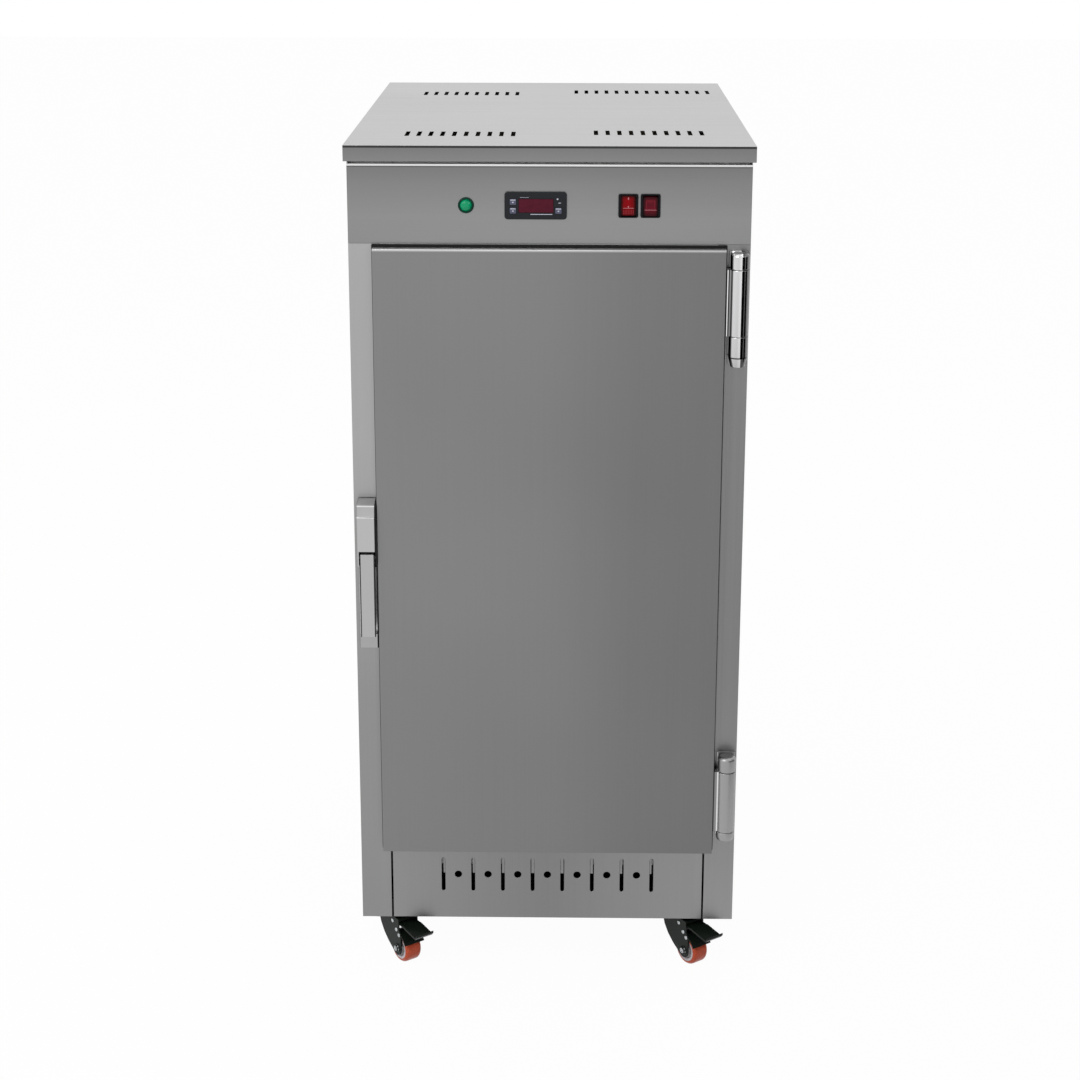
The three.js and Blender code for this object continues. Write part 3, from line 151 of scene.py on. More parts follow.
def steel(name, colour, roughness, brushed="x", paintedLight=()):
    made, tree, shader = newMaterial(name)
    shader.inputs["Metallic"].default_value = 1.0
    scale = [grain["along"] if fine else grain["across"] for fine in axisScale[brushed]]
    low, high = roughness - grain["roughSpread"], roughness + grain["roughSpread"]
    lines, uneven = stretchedNoise(tree, scale, low, high)
    tone = stretchedNoise(tree, (grain["cloud"],) * 3, 0.0, 1.0, detail=1.0)[1]
    dark, light = toned(colour, 1 - grain["toneShare"]), toned(colour, 1 + grain["toneShare"])
    twoTones(tree, shader, tone.outputs["Result"], dark, light)
    paintLightAndShade(tree, shader, paintedLight)
    tree.links.new(uneven.outputs["Result"], shader.inputs["Roughness"])
    bump(tree, shader, lines, grain["bump"], grain["depth"])
    return made


def mottled(name, colour, roughness, metallic=0.0, scale=300.0, spread=0.08, bumps=0.15, gloss=0.15,
            paintedLight=()):
    made, tree, shader = newMaterial(name)
    shader.inputs["Metallic"].default_value = metallic
    shader.inputs["Specular IOR Level"].default_value = pebble["metalGloss"] if metallic else gloss
    noise, tone = stretchedNoise(tree, (scale,) * 3, 0.0, 1.0)
    twoTones(tree, shader, tone.outputs["Result"], toned(colour, 1 - spread), toned(colour, 1 + spread))
    paintLightAndShade(tree, shader, paintedLight)
    shader.inputs["Roughness"].default_value = roughness
    bump(tree, shader, noise, bumps, pebble["depth"])
    return made


# Painted light on the lid: a painted shadow line along the lip's bottom edge, the lip darker than the top, a
# painted shade band under the top edge and in the vent walls, and the top painted lighter
lidPaintedLight = [
    ("z", [(1096, 0.02), (1098.4, 0.02), (1098.8, 0.5), (1110, 0.45), (1115, 0.42), (1115.5, 0.1),
           (1117.9, 0.1), (1118.15, 0.92), (1118.4, 0.82)]),
]
# Painted light on the fascia: darker towards the top, then a painted shadow line and a painted highlight
# along its top bend
fasciaPaintedLight = [
    ("z", [(996, 0.98), (1030, 1.0), (1070, 0.86), (1090.8, 0.74), (1091.2, 0.42), (1092.3, 0.42),
           (1092.8, 2.7), (1095, 2.7)]),
]
# Painted light on the door: lighter at the left, darker towards the right and the bottom, with a painted
# highlight along its top edge
doorPaintedLight = [
    ("x", [(-219, 1.0), (0, 0.93), (110, 0.8), (219, 0.78)]),
    ("z", [(177, 0.9), (500, 0.96), (990.3, 1.0), (990.7, 3.4), (992, 3.4)]),
]
# Painted reflection on the chrome top hinge: a thin highlight and dark bands on the flange, a light band on
# the barrel and a dark right half; a painted shadow line where the foot meets the knuckle, and lighter
# towards the top
topHingePaintedLight = [
    ("x", [(219.3, 0.03), (220.4, 0.03), (220.8, 1.0), (221.6, 1.0), (222, 0.04), (223, 0.04), (224, 0.3),
           (226.9, 0.35), (227.9, 0.8), (234, 0.74), (237.8, 0.95), (238.4, 0.95), (239.2, 0.02),
           (240.4, 0.12), (243, 0.22), (246, 0.2), (248, 0.12)]),
    ("z", [(844, 0.72), (855.4, 0.8), (855.8, 0.06), (857.2, 0.06), (857.6, 0.86), (883, 0.92), (968, 1.0),
           (988.5, 1.0)]),
]
# Painted light on the satin bottom hinge: a darker flange, a painted highlight over the groove beside the
# barrel, and slightly darker at the right
lowHingePaintedLight = [
    ("x", [(219.3, 0.2), (220.2, 0.25), (220.8, 0.74), (223.2, 0.76), (224.2, 2.6), (226.5, 1.1), (232, 1.02),
           (248, 0.92)]),
]
# Painted light on the latch body: a darker left edge, a painted shadow line between latch and door, a darker
# foot, and painted highlights along the two bevel edges
latchPaintedLight = [
    ("x", [(-244.4, 0.35), (-243.6, 1.0), (-222.0, 1.0), (-221.6, 0.03), (-219.3, 0.03)]),
    ("z", [(464, 0.8), (482.5, 0.8), (483.5, 1.0), (645.5, 1.0), (645.9, 1.5), (646.7, 1.5), (647.2, 0.9),
           (659.8, 0.88), (660.1, 1.6), (661.2, 1.6), (661.6, 0.86), (665, 0.86)]),
]
# Painted shadow lines down both sides of the latch grip
gripPaintedShadow = [
    ("x", [(-241.3, 0.05), (-240.3, 0.05), (-239.9, 1.0), (-223.7, 1.0), (-223.4, 0.06), (-222.3, 0.06)]),
]
# Painted shade on the rockers: darker towards their sides, top and bottom
leftRockerPaintedShade = [
    ("x", [(88.3, 0.12), (90.3, 0.3), (91.6, 0.9), (97.6, 1.1), (103.2, 0.8), (104.6, 0.3), (106.9, 0.12)]),
    ("z", [(1031.8, 0.25), (1034, 0.5), (1040, 0.75), (1044, 1.0), (1053, 0.9), (1056.2, 0.2)]),
]
rightRockerPaintedShade = [
    ("x", [(115.7, 0.12), (118, 0.4), (119.6, 1.0), (130.4, 1.0), (132, 0.4), (134.3, 0.12)]),
    ("z", [(1031.8, 0.25), (1036, 0.6), (1039, 1.0), (1051, 1.0), (1053.5, 0.5), (1056.2, 0.2)]),
]
# Painted light on the stiles: the left one darker towards the bottom, the right one lighter at the bottom
# than higher up
leftStilePaintedLight = [("z", [(70, 0.66), (400, 0.72), (740, 0.97), (996, 1.0)])]
rightStilePaintedLight = [("z", [(70, 1.0), (250, 0.84), (600, 0.8), (996, 0.88)])]
# Painted shade on the lower front panel: darker in the middle than at its sides
lowerPanelPaintedShade = [("x", [(-208, 1.0), (0, 0.8), (208, 0.98)])]
finishes = {
    "lid_steel": steel("lidSteel", (0.5, 0.5, 0.5), 0.34, "x", lidPaintedLight),
    "panel_steel": steel("panelSteel", (0.27, 0.27, 0.27), 0.36, "z"),
    "fascia_steel": steel("fasciaSteel", (0.29, 0.29, 0.29), 0.34, "x", fasciaPaintedLight),
    "door_steel": steel("doorSteel", (0.25, 0.25, 0.25), 0.36, "z", doorPaintedLight),
    "liner_steel": steel("linerSteel", (0.5, 0.5, 0.51), 0.3),
    "wire_chrome": mottled("wireChrome", (0.75, 0.76, 0.78), 0.12, 1.0, bumps=0.02, spread=0.02),
    "hinge_chrome": steel("hingeChrome", (0.84, 0.84, 0.85), 0.12, "z", topHingePaintedLight),
    "hinge_satin": steel("hingeSatin", (0.33, 0.33, 0.33), 0.35, "z", lowHingePaintedLight),
    "latch_satin": steel("latchSatin", (0.5, 0.5, 0.5), 0.35, "z"),
    "zinc_steel": mottled("zincSteel", (0.5, 0.52, 0.53), 0.4, 1.0, 60.0, 0.12, 0.05),
    "caster_paint": mottled("casterPaint", (0.008, 0.012, 0.009), 0.35, 0.0, 900.0, 0.1, 0.2, 0.12),
    "brass": mottled("brass", (0.6, 0.44, 0.2), 0.32, 1.0, 80.0, 0.08, 0.05),
    "cast_iron": mottled("castIron", (0.06, 0.06, 0.065), 0.7, 0.6, 700.0, 0.15, 0.5),
    "black_plastic": mottled("blackPlastic", (0.008, 0.008, 0.01), 0.45, 0.0, 1800.0, 0.1, 0.3, 0.1),
    "charcoal_plastic": mottled("charcoalPlastic", (0.022, 0.024, 0.027), 0.5, 0.0, 1800.0, 0.1, 0.3, 0.1),
    "lit_red_plastic": mottled("litRedPlastic", (0.25, 0.001, 0.004), 0.25, 0.0, 200.0, 0.1, 0.05, 0.1,
                          leftRockerPaintedShade),
    "dark_red_plastic": mottled("darkRedPlastic", (0.14, 0.004, 0.014), 0.28, 0.0, 200.0, 0.1, 0.05, 0.12,
                          rightRockerPaintedShade),
    "green_lens": mottled("greenLens", (0.0, 0.33, 0.14), 0.2, 0.0, 200.0, 0.1, 0.05, 0.3),
    "window_red": mottled("windowRed", (0.09, 0.008, 0.022), 0.15, 0.0, 200.0, 0.1, 0.02, 0.1),
    "key_grey": mottled("keyGrey", (0.11, 0.115, 0.17), 0.5, 0.0, 1800.0, 0.06, 0.2),
    "gasket_rubber": mottled("gasketRubber", (0.01, 0.01, 0.01), 0.75, 0.0, 900.0, 0.15, 0.3),
    "mineral_wool": mottled("mineralWool", (0.6, 0.48, 0.27), 1.0, 0.0, 250.0, 0.25, 1.0),
    "ceramic": mottled("ceramic", (0.8, 0.78, 0.7), 0.3, 0.0, 150.0, 0.04, 0.05),
    "orange_tread": mottled("orangeTread", (0.54, 0.08, 0.03), 0.3, 0.0, 400.0, 0.12, 0.1, 0.25),
}
panelFinishes = {
    # Painted light: the left stile's steel is a lighter copy of the right stile's
    "side_panel_left": steel("leftStileLitSteel", (0.42, 0.42, 0.42), 0.36, "z", leftStilePaintedLight),
    "side_panel_right": steel("rightStileShadedSteel", (0.29, 0.29, 0.29), 0.36, "z", rightStilePaintedLight),
    "lower_front_panel": steel("lowerPanelSteel", (0.28, 0.28, 0.28), 0.36, "z", lowerPanelPaintedShade),
    "air_shutter": steel("shutterSteel", (0.26, 0.26, 0.26), 0.4, "x"),
    "latch_body": steel("latchBodySteel", (0.5, 0.5, 0.5), 0.35, "z", latchPaintedLight),
    # Painted shade: the grip's steel is a slightly darker copy of the latch body's
    "latch_lever": steel("latchGripSteel", (0.46, 0.46, 0.46), 0.35, "z", gripPaintedShadow),
    # Painted shade: the base frame and burner cradle are coloured near black, so the inside seen through the
    # front slots looks shaded
    "base_frame": mottled("frameShadeBlack", (0.012, 0.012, 0.013), 0.6, 0.0, 700.0, 0.12, 0.2, 0.1),
    "burner_cradle": mottled("cradleShadeBlack", (0.012, 0.012, 0.013), 0.6, 0.0, 700.0, 0.12, 0.2, 0.1),
    "pilot_ring": mottled("ringGreen", (0.002, 0.035, 0.022), 0.35, 0.0, 1800.0, 0.1, 0.2, 0.15),
}
rimWhite = mottled("rimWhite", (0.62, 0.58, 0.6), 0.4, 0.0, 1800.0, 0.06, 0.2, 0.3)
# Pale colour of the printed rocker marks and of the painted highlight lines across them
paleMarkAndHighlight = mottled("paleMarkAndHighlight", (0.5, 0.2, 0.22), 0.5, 0.0, 1800.0, 0.06, 0.2, 0.2)
ribRed = mottled("ribRed", (0.3, 0.02, 0.03), 0.4, 0.0, 1800.0, 0.06, 0.2, 0.2)
# Pale colour of the printed marks and of the painted glint on the thermostat
markAndGlint = mottled("markAndGlint", (0.56, 0.57, 0.66), 0.5, 0.0, 1800.0, 0.06, 0.2, 0.2)
for node, slot in slotOf.items():
    nodes[node].material_slots[0].material = panelFinishes.get(node, finishes[slot])
print("finishes on")


# Surfaces


def settle(piece, node, slot=None, made=None, instead=True):
    slot = slot or slotOf[node]
    piece.data.materials.clear()
    piece.data.materials.append(made or finishes[slot])
    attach(piece, bodyOf[node])
    if instead:
        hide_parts(node)
    return piece


merging = {"near": 1e-7, "thin": 1e-8, "nearInSolid": 2e-6, "flatAngle": 1, "sharpAngle": 25}


# Rows of points joined by four-sided faces, the last column to the first where it goes
# around, with the first and the last row closed by a lid where asked; several such grids
# make one mesh, its doubled points merged and its faces turned outwards
def surface(name, grids, around=True, lids=True, sharp=30):
    points, faces, start = [], [], 0
    for grid in grids:
        rows, columns = grid.shape[:2]
        index = np.arange(rows * columns).reshape(rows, columns) + start
        beside = np.roll(index, -1, axis=1)
        squares = np.stack([index[:-1], beside[:-1], beside[1:], index[1:]], axis=-1)
        faces += squares[:, : columns if around else columns - 1].reshape(-1, 4).tolist()
        if lids:
            faces += [index[0, ::-1].tolist(), index[-1].tolist()]
        points.append(grid.reshape(-1, 3))
        start += rows * columns
    mesh = bpy.data.meshes.new(name)
    mesh.from_pydata(np.concatenate(points).tolist(), [], faces)
    body = bmesh.new()
    body.from_mesh(mesh)
    bmesh.ops.remove_doubles(body, verts=body.verts, dist=merging["near"])
    bmesh.ops.dissolve_degenerate(body, edges=body.edges, dist=merging["thin"])
    bmesh.ops.recalc_face_normals(body, faces=body.faces)
    body.to_mesh(mesh)
    body.free()
    mesh.shade_smooth()
    mesh.set_sharp_from_angle(angle=math.radians(sharp))
    piece = bpy.data.objects.new(name, mesh)
    bpy.context.scene.collection.objects.link(piece)
    return piece


# A profile with each inner corner replaced by the parabola that touches both of its
# sides at the given distance: (1-t)^2 a + 2t(1-t) corner + t^2 b
def eased(profile, reach, steps=6):
    profile = np.asarray(profile, float)
    corner = profile[1:-1]
    back, ahead = profile[:-2] - corner, profile[2:] - corner
    backLength = np.linalg.norm(back, axis=1, keepdims=True)
    aheadLength = np.linalg.norm(ahead, axis=1, keepdims=True)
    a = corner + back / backLength * np.minimum(reach, backLength / 2)
    b = corner + ahead / aheadLength * np.minimum(reach, aheadLength / 2)
    t = np.linspace(0, 1, steps)[None, :, None]
    curve = (1 - t) ** 2 * a[:, None] + 2 * t * (1 - t) * corner[:, None] + t**2 * b[:, None]
    return np.concatenate([profile[:1], curve.reshape(-1, 2), profile[-1:]])


# Lays two coordinates across an axis and a third along it, all in millimetres
def laid(axis, first, second, along):
    order = {"x": (along, first, second), "y": (first, along, second), "z": (first, second, along)}[axis]
    grid = np.stack(np.broadcast_arrays(*order), axis=-1) * mm
    grid[..., 1] += frontPlane
    return grid


# A profile of (radius, place along) carried round an axis: centre + radius (cos turn, sin turn)
def turned(profile, axis, first, second, sides=48):
    profile = np.asarray(profile, float)
    turn = np.linspace(0, 2 * np.pi, sides, endpoint=False)[None, :]
    radius, along = profile[:, :1], profile[:, 1:]
    return laid(axis, first + radius * np.cos(turn), second + radius * np.sin(turn), along)


# A rectangle with round corners carried along an axis through (half width, half height,
# corner radius, place along): each quarter turn is its corner's centre + radius (cos, sin)
def moulded(loops, axis, first, second, steps=7):
    loops = np.asarray(loops, float)[:, :, None]
    corner = np.repeat(np.arange(4), steps)
    turn = (corner + np.tile(np.linspace(0, 1, steps), 4)) * np.pi / 2
    signX = np.where((corner == 0) | (corner == 3), 1, -1)
    signY = np.where(corner < 2, 1, -1)
    halfWidth, halfHeight, radius, along = loops[:, 0], loops[:, 1], loops[:, 2], loops[:, 3]
    x = first + signX * (halfWidth - radius) + radius * np.cos(turn)
    y = second + signY * (halfHeight - radius) + radius * np.sin(turn)
    return laid(axis, x, y, along)


# The loops of a block whose corners and edges are rounded: inset and depth follow a quarter turn
def pillow(halfWidth, halfHeight, corner, low, high, edge, steps=5):
    turn = np.linspace(0, np.pi / 2, steps)
    inset, depth = edge * (1 - np.sin(turn)), edge * (1 - np.cos(turn))
    ends = [(halfWidth - i, halfHeight - i, max(corner - i, 0.05), low + d) for i, d in zip(inset, depth)]
    others = [(w, h, r, high + low - place) for w, h, r, place in reversed(ends)]
    return ends + others


# Casters stand turned about their swivels, so their pieces are laid out straight and then turned
def turnedAbout(grid, x, y, degrees):
    c, s = math.cos(math.radians(degrees)), math.sin(math.radians(degrees))
    moved = grid.copy()
    moved[..., 0] = x * mm + c * grid[..., 0] - s * (grid[..., 1] - frontPlane)
    moved[..., 1] = y * mm + frontPlane + s * grid[..., 0] + c * (grid[..., 1] - frontPlane)
    return moved


# A copy of a node's solid with its flat faces made whole and its edges rounded
def softened(node, radius, segments=3, made=None):
    mesh = nodes[node].data.copy()
    body = bmesh.new()
    body.from_mesh(mesh)
    bmesh.ops.remove_doubles(body, verts=body.verts, dist=merging["nearInSolid"])
    flatAngle, sharpAngle = math.radians(merging["flatAngle"]), math.radians(merging["sharpAngle"])
    bmesh.ops.dissolve_limit(body, angle_limit=flatAngle, verts=body.verts, edges=body.edges)
    body.to_mesh(mesh)
    body.free()
    piece = bpy.data.objects.new(node.replace("_", "-") + ".soft", mesh)
    bpy.context.scene.collection.objects.link(piece)
    bevel = piece.modifiers.new("edges", "BEVEL")
    bevel.width = radius
    bevel.segments = segments
    bevel.limit_method = "ANGLE"
    bevel.angle_limit = sharpAngle
    bevel.harden_normals = True
    mesh.shade_smooth()
    mesh.set_sharp_from_angle(angle=sharpAngle)
    return settle(piece, node, made=made)


# Sheet metal and cast pieces

soft = {
    "top_cover": 0.0014, "control_panel": 0.0008, "side_panel_left": 0.0006, "side_panel_right": 0.0006,
    "door_skin": 0.0016, "lower_front_panel": 0.0005, "latch_body": 0.0009, "latch_lever": 0.0009,
    "thermostat_housing": 0.0007, "switch_left_housing": 0.0007, "switch_right_housing": 0.0007,
    "switch_left_rocker": 0.0006, "switch_right_rocker": 0.0006, "door_gasket": 0.0004,
    "door_liner": 0.0006, "inner_liner": 0.0004, "rack_left": 0.0003, "rack_right": 0.0003,
    "water_pan": 0.0004, "back_panel": 0.0003, "power_inlet": 0.0004, "base_frame": 0.0006,
    "gas_valve": 0.0008, "ignition_box": 0.0008, "latch_keeper": 0.0003,
}
for node, radius in soft.items():
    softened(node, radius, made=panelFinishes.get(node))
print("sheet metal edges rounded")

# Hinges: turned barrels, caps and knuckles on rounded leaves

hinges = {
    "x": 236.0, "y": -14.0, "radius": 12.0, "pin": 4.0, "edge": 0.9, "capRound": 3.0, "capEdge": 1.8,
    "web": (8.0, 6.85, 0.5), "webEdge": 0.4, "webDrop": 4.0, "plate": (1.5, -1.5, -0.3, 0.3),
    "flange": (8.35, 0.6, -19.0, -8.0, 0.6), "gap": 0.4, "boreGap": 0.3, "pinSunk": 1.0, "pinInCap": 8.0,
    "top": {"base": 844.0, "foot": 12.5, "knuckle": 26.5, "barrel": 85.0, "cap": 20.5},
    "bottom": {"base": 197.0, "foot": 5.0, "knuckle": 7.0, "barrel": 86.0, "cap": 21.0},
}


def addHinge(place):
    size = hinges[place]
    x, y, radius, edge, cap = (hinges[key] for key in ("x", "y", "radius", "edge", "capRound"))
    knuckleFrom = size["base"] + size["foot"]
    knuckleTo = knuckleFrom + size["knuckle"]
    capFrom = knuckleTo + size["barrel"]
    top = capFrom + size["cap"]
    foot = radius - size["foot"] / 4
    lower = [(0, size["base"]), (foot, size["base"]), (radius, knuckleFrom)]
    lower = eased(lower + [(radius, knuckleTo), (0, knuckleTo)], edge)
    upper = [(0, capFrom), (radius, capFrom), (radius, top - cap), (radius - cap, top), (0, top)]
    upper = eased(upper, hinges["capEdge"])
    webEdge, webTop, webBack = hinges["webEdge"], top - hinges["webDrop"], y + hinges["web"][1]
    lowWeb = pillow(*hinges["web"], knuckleFrom, knuckleTo, webEdge)
    highWeb = pillow(*hinges["web"], capFrom, webTop, webEdge)
    plate = pillow(radius, (top - size["base"]) / 2, *hinges["plate"])
    frameLeaf = [turned(lower, "z", x, y), turned(upper, "z", x, y), moulded(lowWeb, "z", x, webBack)]
    frameLeaf += [moulded(highWeb, "z", x, webBack), moulded(plate, "y", x, (top + size["base"]) / 2)]
    pin, pinFrom, pinTo = hinges["pin"], knuckleFrom + hinges["pinSunk"], capFrom + hinges["pinInCap"]
    frameLeaf.append(turned([(0, pinFrom), (pin, pinFrom), (pin, pinTo), (0, pinTo)], "z", x, y, 24))
    node = "hinge_" + place + "_frame_leaf"
    settle(surface(node.replace("_", "-") + ".turned", frameLeaf), node)
    low, high, bore = knuckleTo + hinges["gap"], capFrom - hinges["gap"], pin + hinges["boreGap"]
    shell = eased([(bore, low), (radius, low), (radius, high), (bore, high)], edge)
    shell = np.concatenate([shell, shell[:1]])
    halfFlange, *flangeShape = hinges["flange"]
    flange = pillow(halfFlange, (high - low) / 2, *flangeShape)
    node = "hinge_" + place + "_door_leaf"
    piece = surface(node.replace("_", "-") + ".turned", [turned(shell, "z", x, y)], lids=False)
    settle(piece, node)
    leaf = [moulded(flange, "y", x - halfFlange, (low + high) / 2)]
    settle(surface(node.replace("_", "-") + ".flange", leaf), node)


addHinge("top")
addHinge("bottom")
print("hinges turned")

# Controls: pilot lamp, thermostat window, keys and marks, switch marks

controls = {
    "level": 1044.0, "pilotX": -103.0, "thermostatX": -16.8, "face": -3.5,
    "window": (21.3, 8.4, 0.8), "windowX": 0.5, "windowEdge": 0.25, "key": (4.0, 3.7, 1.1), "keyEdge": 0.5,
    "keyX": 28.1, "keyRise": 4.76, "keyDrop": -6.12, "keyCap": (-0.6, 2.2),
}


# Profiles as (radius, place along); marks as (x, z, half width, half height, corner)
pilot = {
    "ring": [(0, 22), (8.2, 22), (8.2, -0.3), (10, -0.3), (10, -1.5), (9, -2.3), (8.1, -2.3), (7.7, -1.9),
             (7.7, 4.3), (0, 4.3)],
    "dome": [(0, 4), (7.4, 4), (7.4, -1.2), (6.9, -1.5)],
    "ball": (6.6, 1.8, 3.2), "ballSteps": 14, "ringEdge": 0.5, "sides": 64,
}
marks = {
    # The second panel mark is a painted glint above the window; the others are printed marks
    "panel": [(7, -10.6, 13.5, 0.45, 0.2), (-14, 10.4, 5.5, 0.16, 0.15), (27, 8.4, 1.1, 1.1, 1.0),
              (29.6, 3.6, 1.6, 0.45, 0.2)],
    "key": [(0, 2.4, 3.2, 0.55, 0.3), (0, -0.4, 1.0, 0.9, 0.8)],
    "edge": 0.06, "panelDepth": (-0.12, 0.2), "keyDepth": (-0.7, -0.3),
}


def addPilot():
    x, z, sides = controls["pilotX"], controls["level"], pilot["sides"]
    ring = eased(pilot["ring"], pilot["ringEdge"])
    collar = surface("pilot-ring.turned", [turned(ring, "y", x, z, sides)], lids=False)
    settle(collar, "pilot_ring", made=panelFinishes["pilot_ring"])
    turn = np.linspace(0, np.pi / 2, pilot["ballSteps"])
    # The lens front is a flattened half ball: out = radius cos turn, forward = start + reach sin turn
    radius, start, reach = pilot["ball"]
    dome = pilot["dome"] + list(zip(radius * np.cos(turn), -start - reach * np.sin(turn)))
    settle(surface("pilot-lens.turned", [turned(dome, "y", x, z, sides)], lids=False), "pilot_lens")


def laidMarks(kind, x, z):
    front, back = (controls["face"] + depth for depth in marks[kind + "Depth"])
    return [
        moulded(pillow(halfWidth, halfHeight, corner, front, back, marks["edge"]), "y", x + across, z + rise)
        for across, rise, halfWidth, halfHeight, corner in marks[kind]
    ]


def addThermostatFront():
    x, z, face = controls["thermostatX"], controls["level"], controls["face"]
    halfWidth, halfHeight, corner = controls["window"]
    pane = pillow(halfWidth, halfHeight, corner, face, face + 1, controls["windowEdge"])
    pane = [moulded(pane, "y", x + controls["windowX"], z)]
    settle(surface("thermostat-window.pane", pane), "thermostat_window")
    halfWidth, halfHeight, corner = controls["key"]
    front, back = (face + depth for depth in controls["keyCap"])
    keys = {
        "up": (-1, controls["keyRise"]),
        "down": (-1, controls["keyDrop"]),
        "set": (1, controls["keyDrop"]),
    }
    for name, (side, rise) in keys.items():
        node = "thermostat_key_" + name
        label = node.replace("_", "-")
        cap = pillow(halfWidth, halfHeight, corner, front, back, controls["keyEdge"])
        across, level = x + side * controls["keyX"], z + rise
        settle(surface(label + ".cap", [moulded(cap, "y", across, level)]), node)
        keyMarks = laidMarks("key", across, level)
        settle(surface(label + ".mark", keyMarks), node, slotOf[node], markAndGlint, instead=False)
    panelMarks = surface("thermostat.marks", laidMarks("panel", x, z))
    settle(panelMarks, "thermostat_housing", "key_grey", markAndGlint, instead=False)


rockers = {
    "pivot": 1.5, "face": -3.6, "dish": 1.8, "half": 12.2, "mark": (-0.16, 0.2, 0.1), "cornerShare": 0.8,
    # The thin pale line across each rocker is a painted highlight along the fold of its dished face; the
    # other pale marks are printed
    "switch_left_rocker": {
        "x": 97.6, "tilt": -8.0,
        "pale": [(0, 8.6, 0.7, 1.5), (0, -3.2, 6.6, 0.3), (0, -1.6, 0.6, 1.2)],
        "ribs": [(place, -8.0, 0.35, 2.7) for place in (-6.0, -4.0, -2.0, 0.0, 2.0, 4.0, 6.0)],
    },
    "switch_right_rocker": {
        "x": 125.0, "tilt": 8.0,
        "pale": [(0, -4.4, 7.2, 0.3)],
        "ribs": [(-5.2, 2.6, 0.3, 5.2), (5.2, 2.6, 0.3, 5.2), (0, 7.5, 5.2, 0.3), (0, 6.0, 2.2, 0.25)],
    },
}


# Marks lie on the dished face, whose depth grows with the height's distance from the middle,
# and are then turned with the rocker about its pivot
def addRockerMarks(node):
    size = rockers[node]
    half, tilt = rockers["half"], math.radians(size["tilt"])
    for kind, slot, made in (("pale", "key_grey", paleMarkAndHighlight), ("ribs", slotOf[node], ribRed)):
        grids = []
        for x, z, halfWidth, halfHeight in size[kind]:
            corner = min(halfWidth, halfHeight) * rockers["cornerShare"]
            flat = moulded(pillow(halfWidth, halfHeight, corner, *rockers["mark"]), "y", x, z)
            dish = rockers["dish"] * np.abs(flat[..., 2] / mm) / half
            depth = (flat[..., 1] - frontPlane) / mm + rockers["face"] - dish
            height = flat[..., 2] / mm
            across = flat[..., 0] / mm + size["x"]
            turnedDepth = depth * math.cos(tilt) - height * math.sin(tilt) + rockers["pivot"]
            turnedHeight = depth * math.sin(tilt) + height * math.cos(tilt) + controls["level"]
            grids.append(laid("y", across, turnedHeight, turnedDepth))
        settle(surface(node.replace("_", "-") + "." + kind, grids), node, slot, made, instead=False)


addPilot()
addThermostatFront()
addRockerMarks("switch_left_rocker")
addRockerMarks("switch_right_rocker")
print("controls in")

# Chamber: shelves of round wire

shelf = {
    "count": 4, "first": 293.3, "pitch": 200.0, "half": 201.0, "front": 47.0, "back": 607.0,
    "wire": 2.9, "thin": 2.3, "wires": 8, "barDrop": 1.0, "barShare": 0.9, "endShare": 0.6, "sides": 12,
}


# A round wire along a straight line: centre + radius (cos turn, sin turn), with rounded ends
def straightWire(axis, first, second, low, high, radius):
    profile = [(0, low), (radius, low), (radius, high), (0, high)]
    profile = eased(profile, radius * shelf["endShare"], steps=4)
    return turned(profile, axis, first, second, shelf["sides"])


# A round wire bent into a closed frame: each point of the rounded rectangle + its outward
# direction times radius cos turn + up times radius sin turn
def wireFrame(halfX, halfY, middleY, level, radius, corner=12.0, steps=7):
    index = np.repeat(np.arange(4), steps)
    bend = (index + np.tile(np.linspace(0, 1, steps), 4)) * np.pi / 2
    signX, signY = np.where((index == 0) | (index == 3), 1, -1), np.where(index < 2, 1, -1)
    turn = np.linspace(0, 2 * np.pi, shelf["sides"], endpoint=False)[None, :]
    out = corner + radius * np.cos(turn)
    x = (signX * (halfX - corner))[:, None] + out * np.cos(bend)[:, None]
    y = middleY + (signY * (halfY - corner))[:, None] + out * np.sin(bend)[:, None]
    grid = laid("z", x, y, level + radius * np.sin(turn))
    return np.concatenate([grid, grid[:1]])


def addShelf(index):
    level = shelf["first"] + index * shelf["pitch"]
    middle = (shelf["front"] + shelf["back"]) / 2
    pitch = shelf["half"] * 2 / (shelf["wires"] + 1)
    places = (np.arange(shelf["wires"]) - (shelf["wires"] - 1) / 2) * pitch
    wires = [straightWire("y", x, level, shelf["front"], shelf["back"], shelf["thin"]) for x in places]
    half, barLevel, barRadius = shelf["half"], level - shelf["barDrop"], shelf["thin"] * shelf["barShare"]
    wires.append(straightWire("x", middle, barLevel, -half, half, barRadius))
    frameWire = wireFrame(half, (shelf["back"] - shelf["front"]) / 2, middle, level, shelf["wire"])
    node = "wire_shelf_%d" % (index + 1)
    settle(surface(node.replace("_", "-") + ".frame", [frameWire], lids=False), node)
    settle(surface(node.replace("_", "-") + ".wires", wires, lids=False), node)


for index in range(shelf["count"]):
    addShelf(index)
print("wire shelves in")

# Casters: pressed hoods, bolts, moulded wheels and pedals

casters = {
    "turn": 36.0, "trail": 22.0, "radius": 21.0, "half": 12.0, "outer": 15.5, "pivot": (-12.0, 58.2),
    "rivets": [(-21.5, 48.5), (-27.8, 42.5)], "soft": 0.0008, "tread": 4.6, "slope": 3.0, "treadEdge": 2.2,
    "headEdge": 0.8, "rimEdge": 0.6, "rimGap": 0.02, "rimSunk": 0.2, "bore": (3.3, 0.6),
    "head": [(0, -0.5), (5.8, -0.5), (5.8, 1.2), (4.6, 2.4), (0, 2.4)],
    "stud": [(0, -0.5), (2.9, -0.5), (2.7, 0.7), (0, 1.3)],
    "hub": [(6, 0.6), (6, 3.6), (11.5, 3.6), (13.2, 0.4)],
    "spots": {
        "front_left": (-205.5, 30.0), "front_right": (184.5, 30.0),
        "rear_left": (-205.5, 670.0), "rear_right": (184.5, 670.0),
    },
}


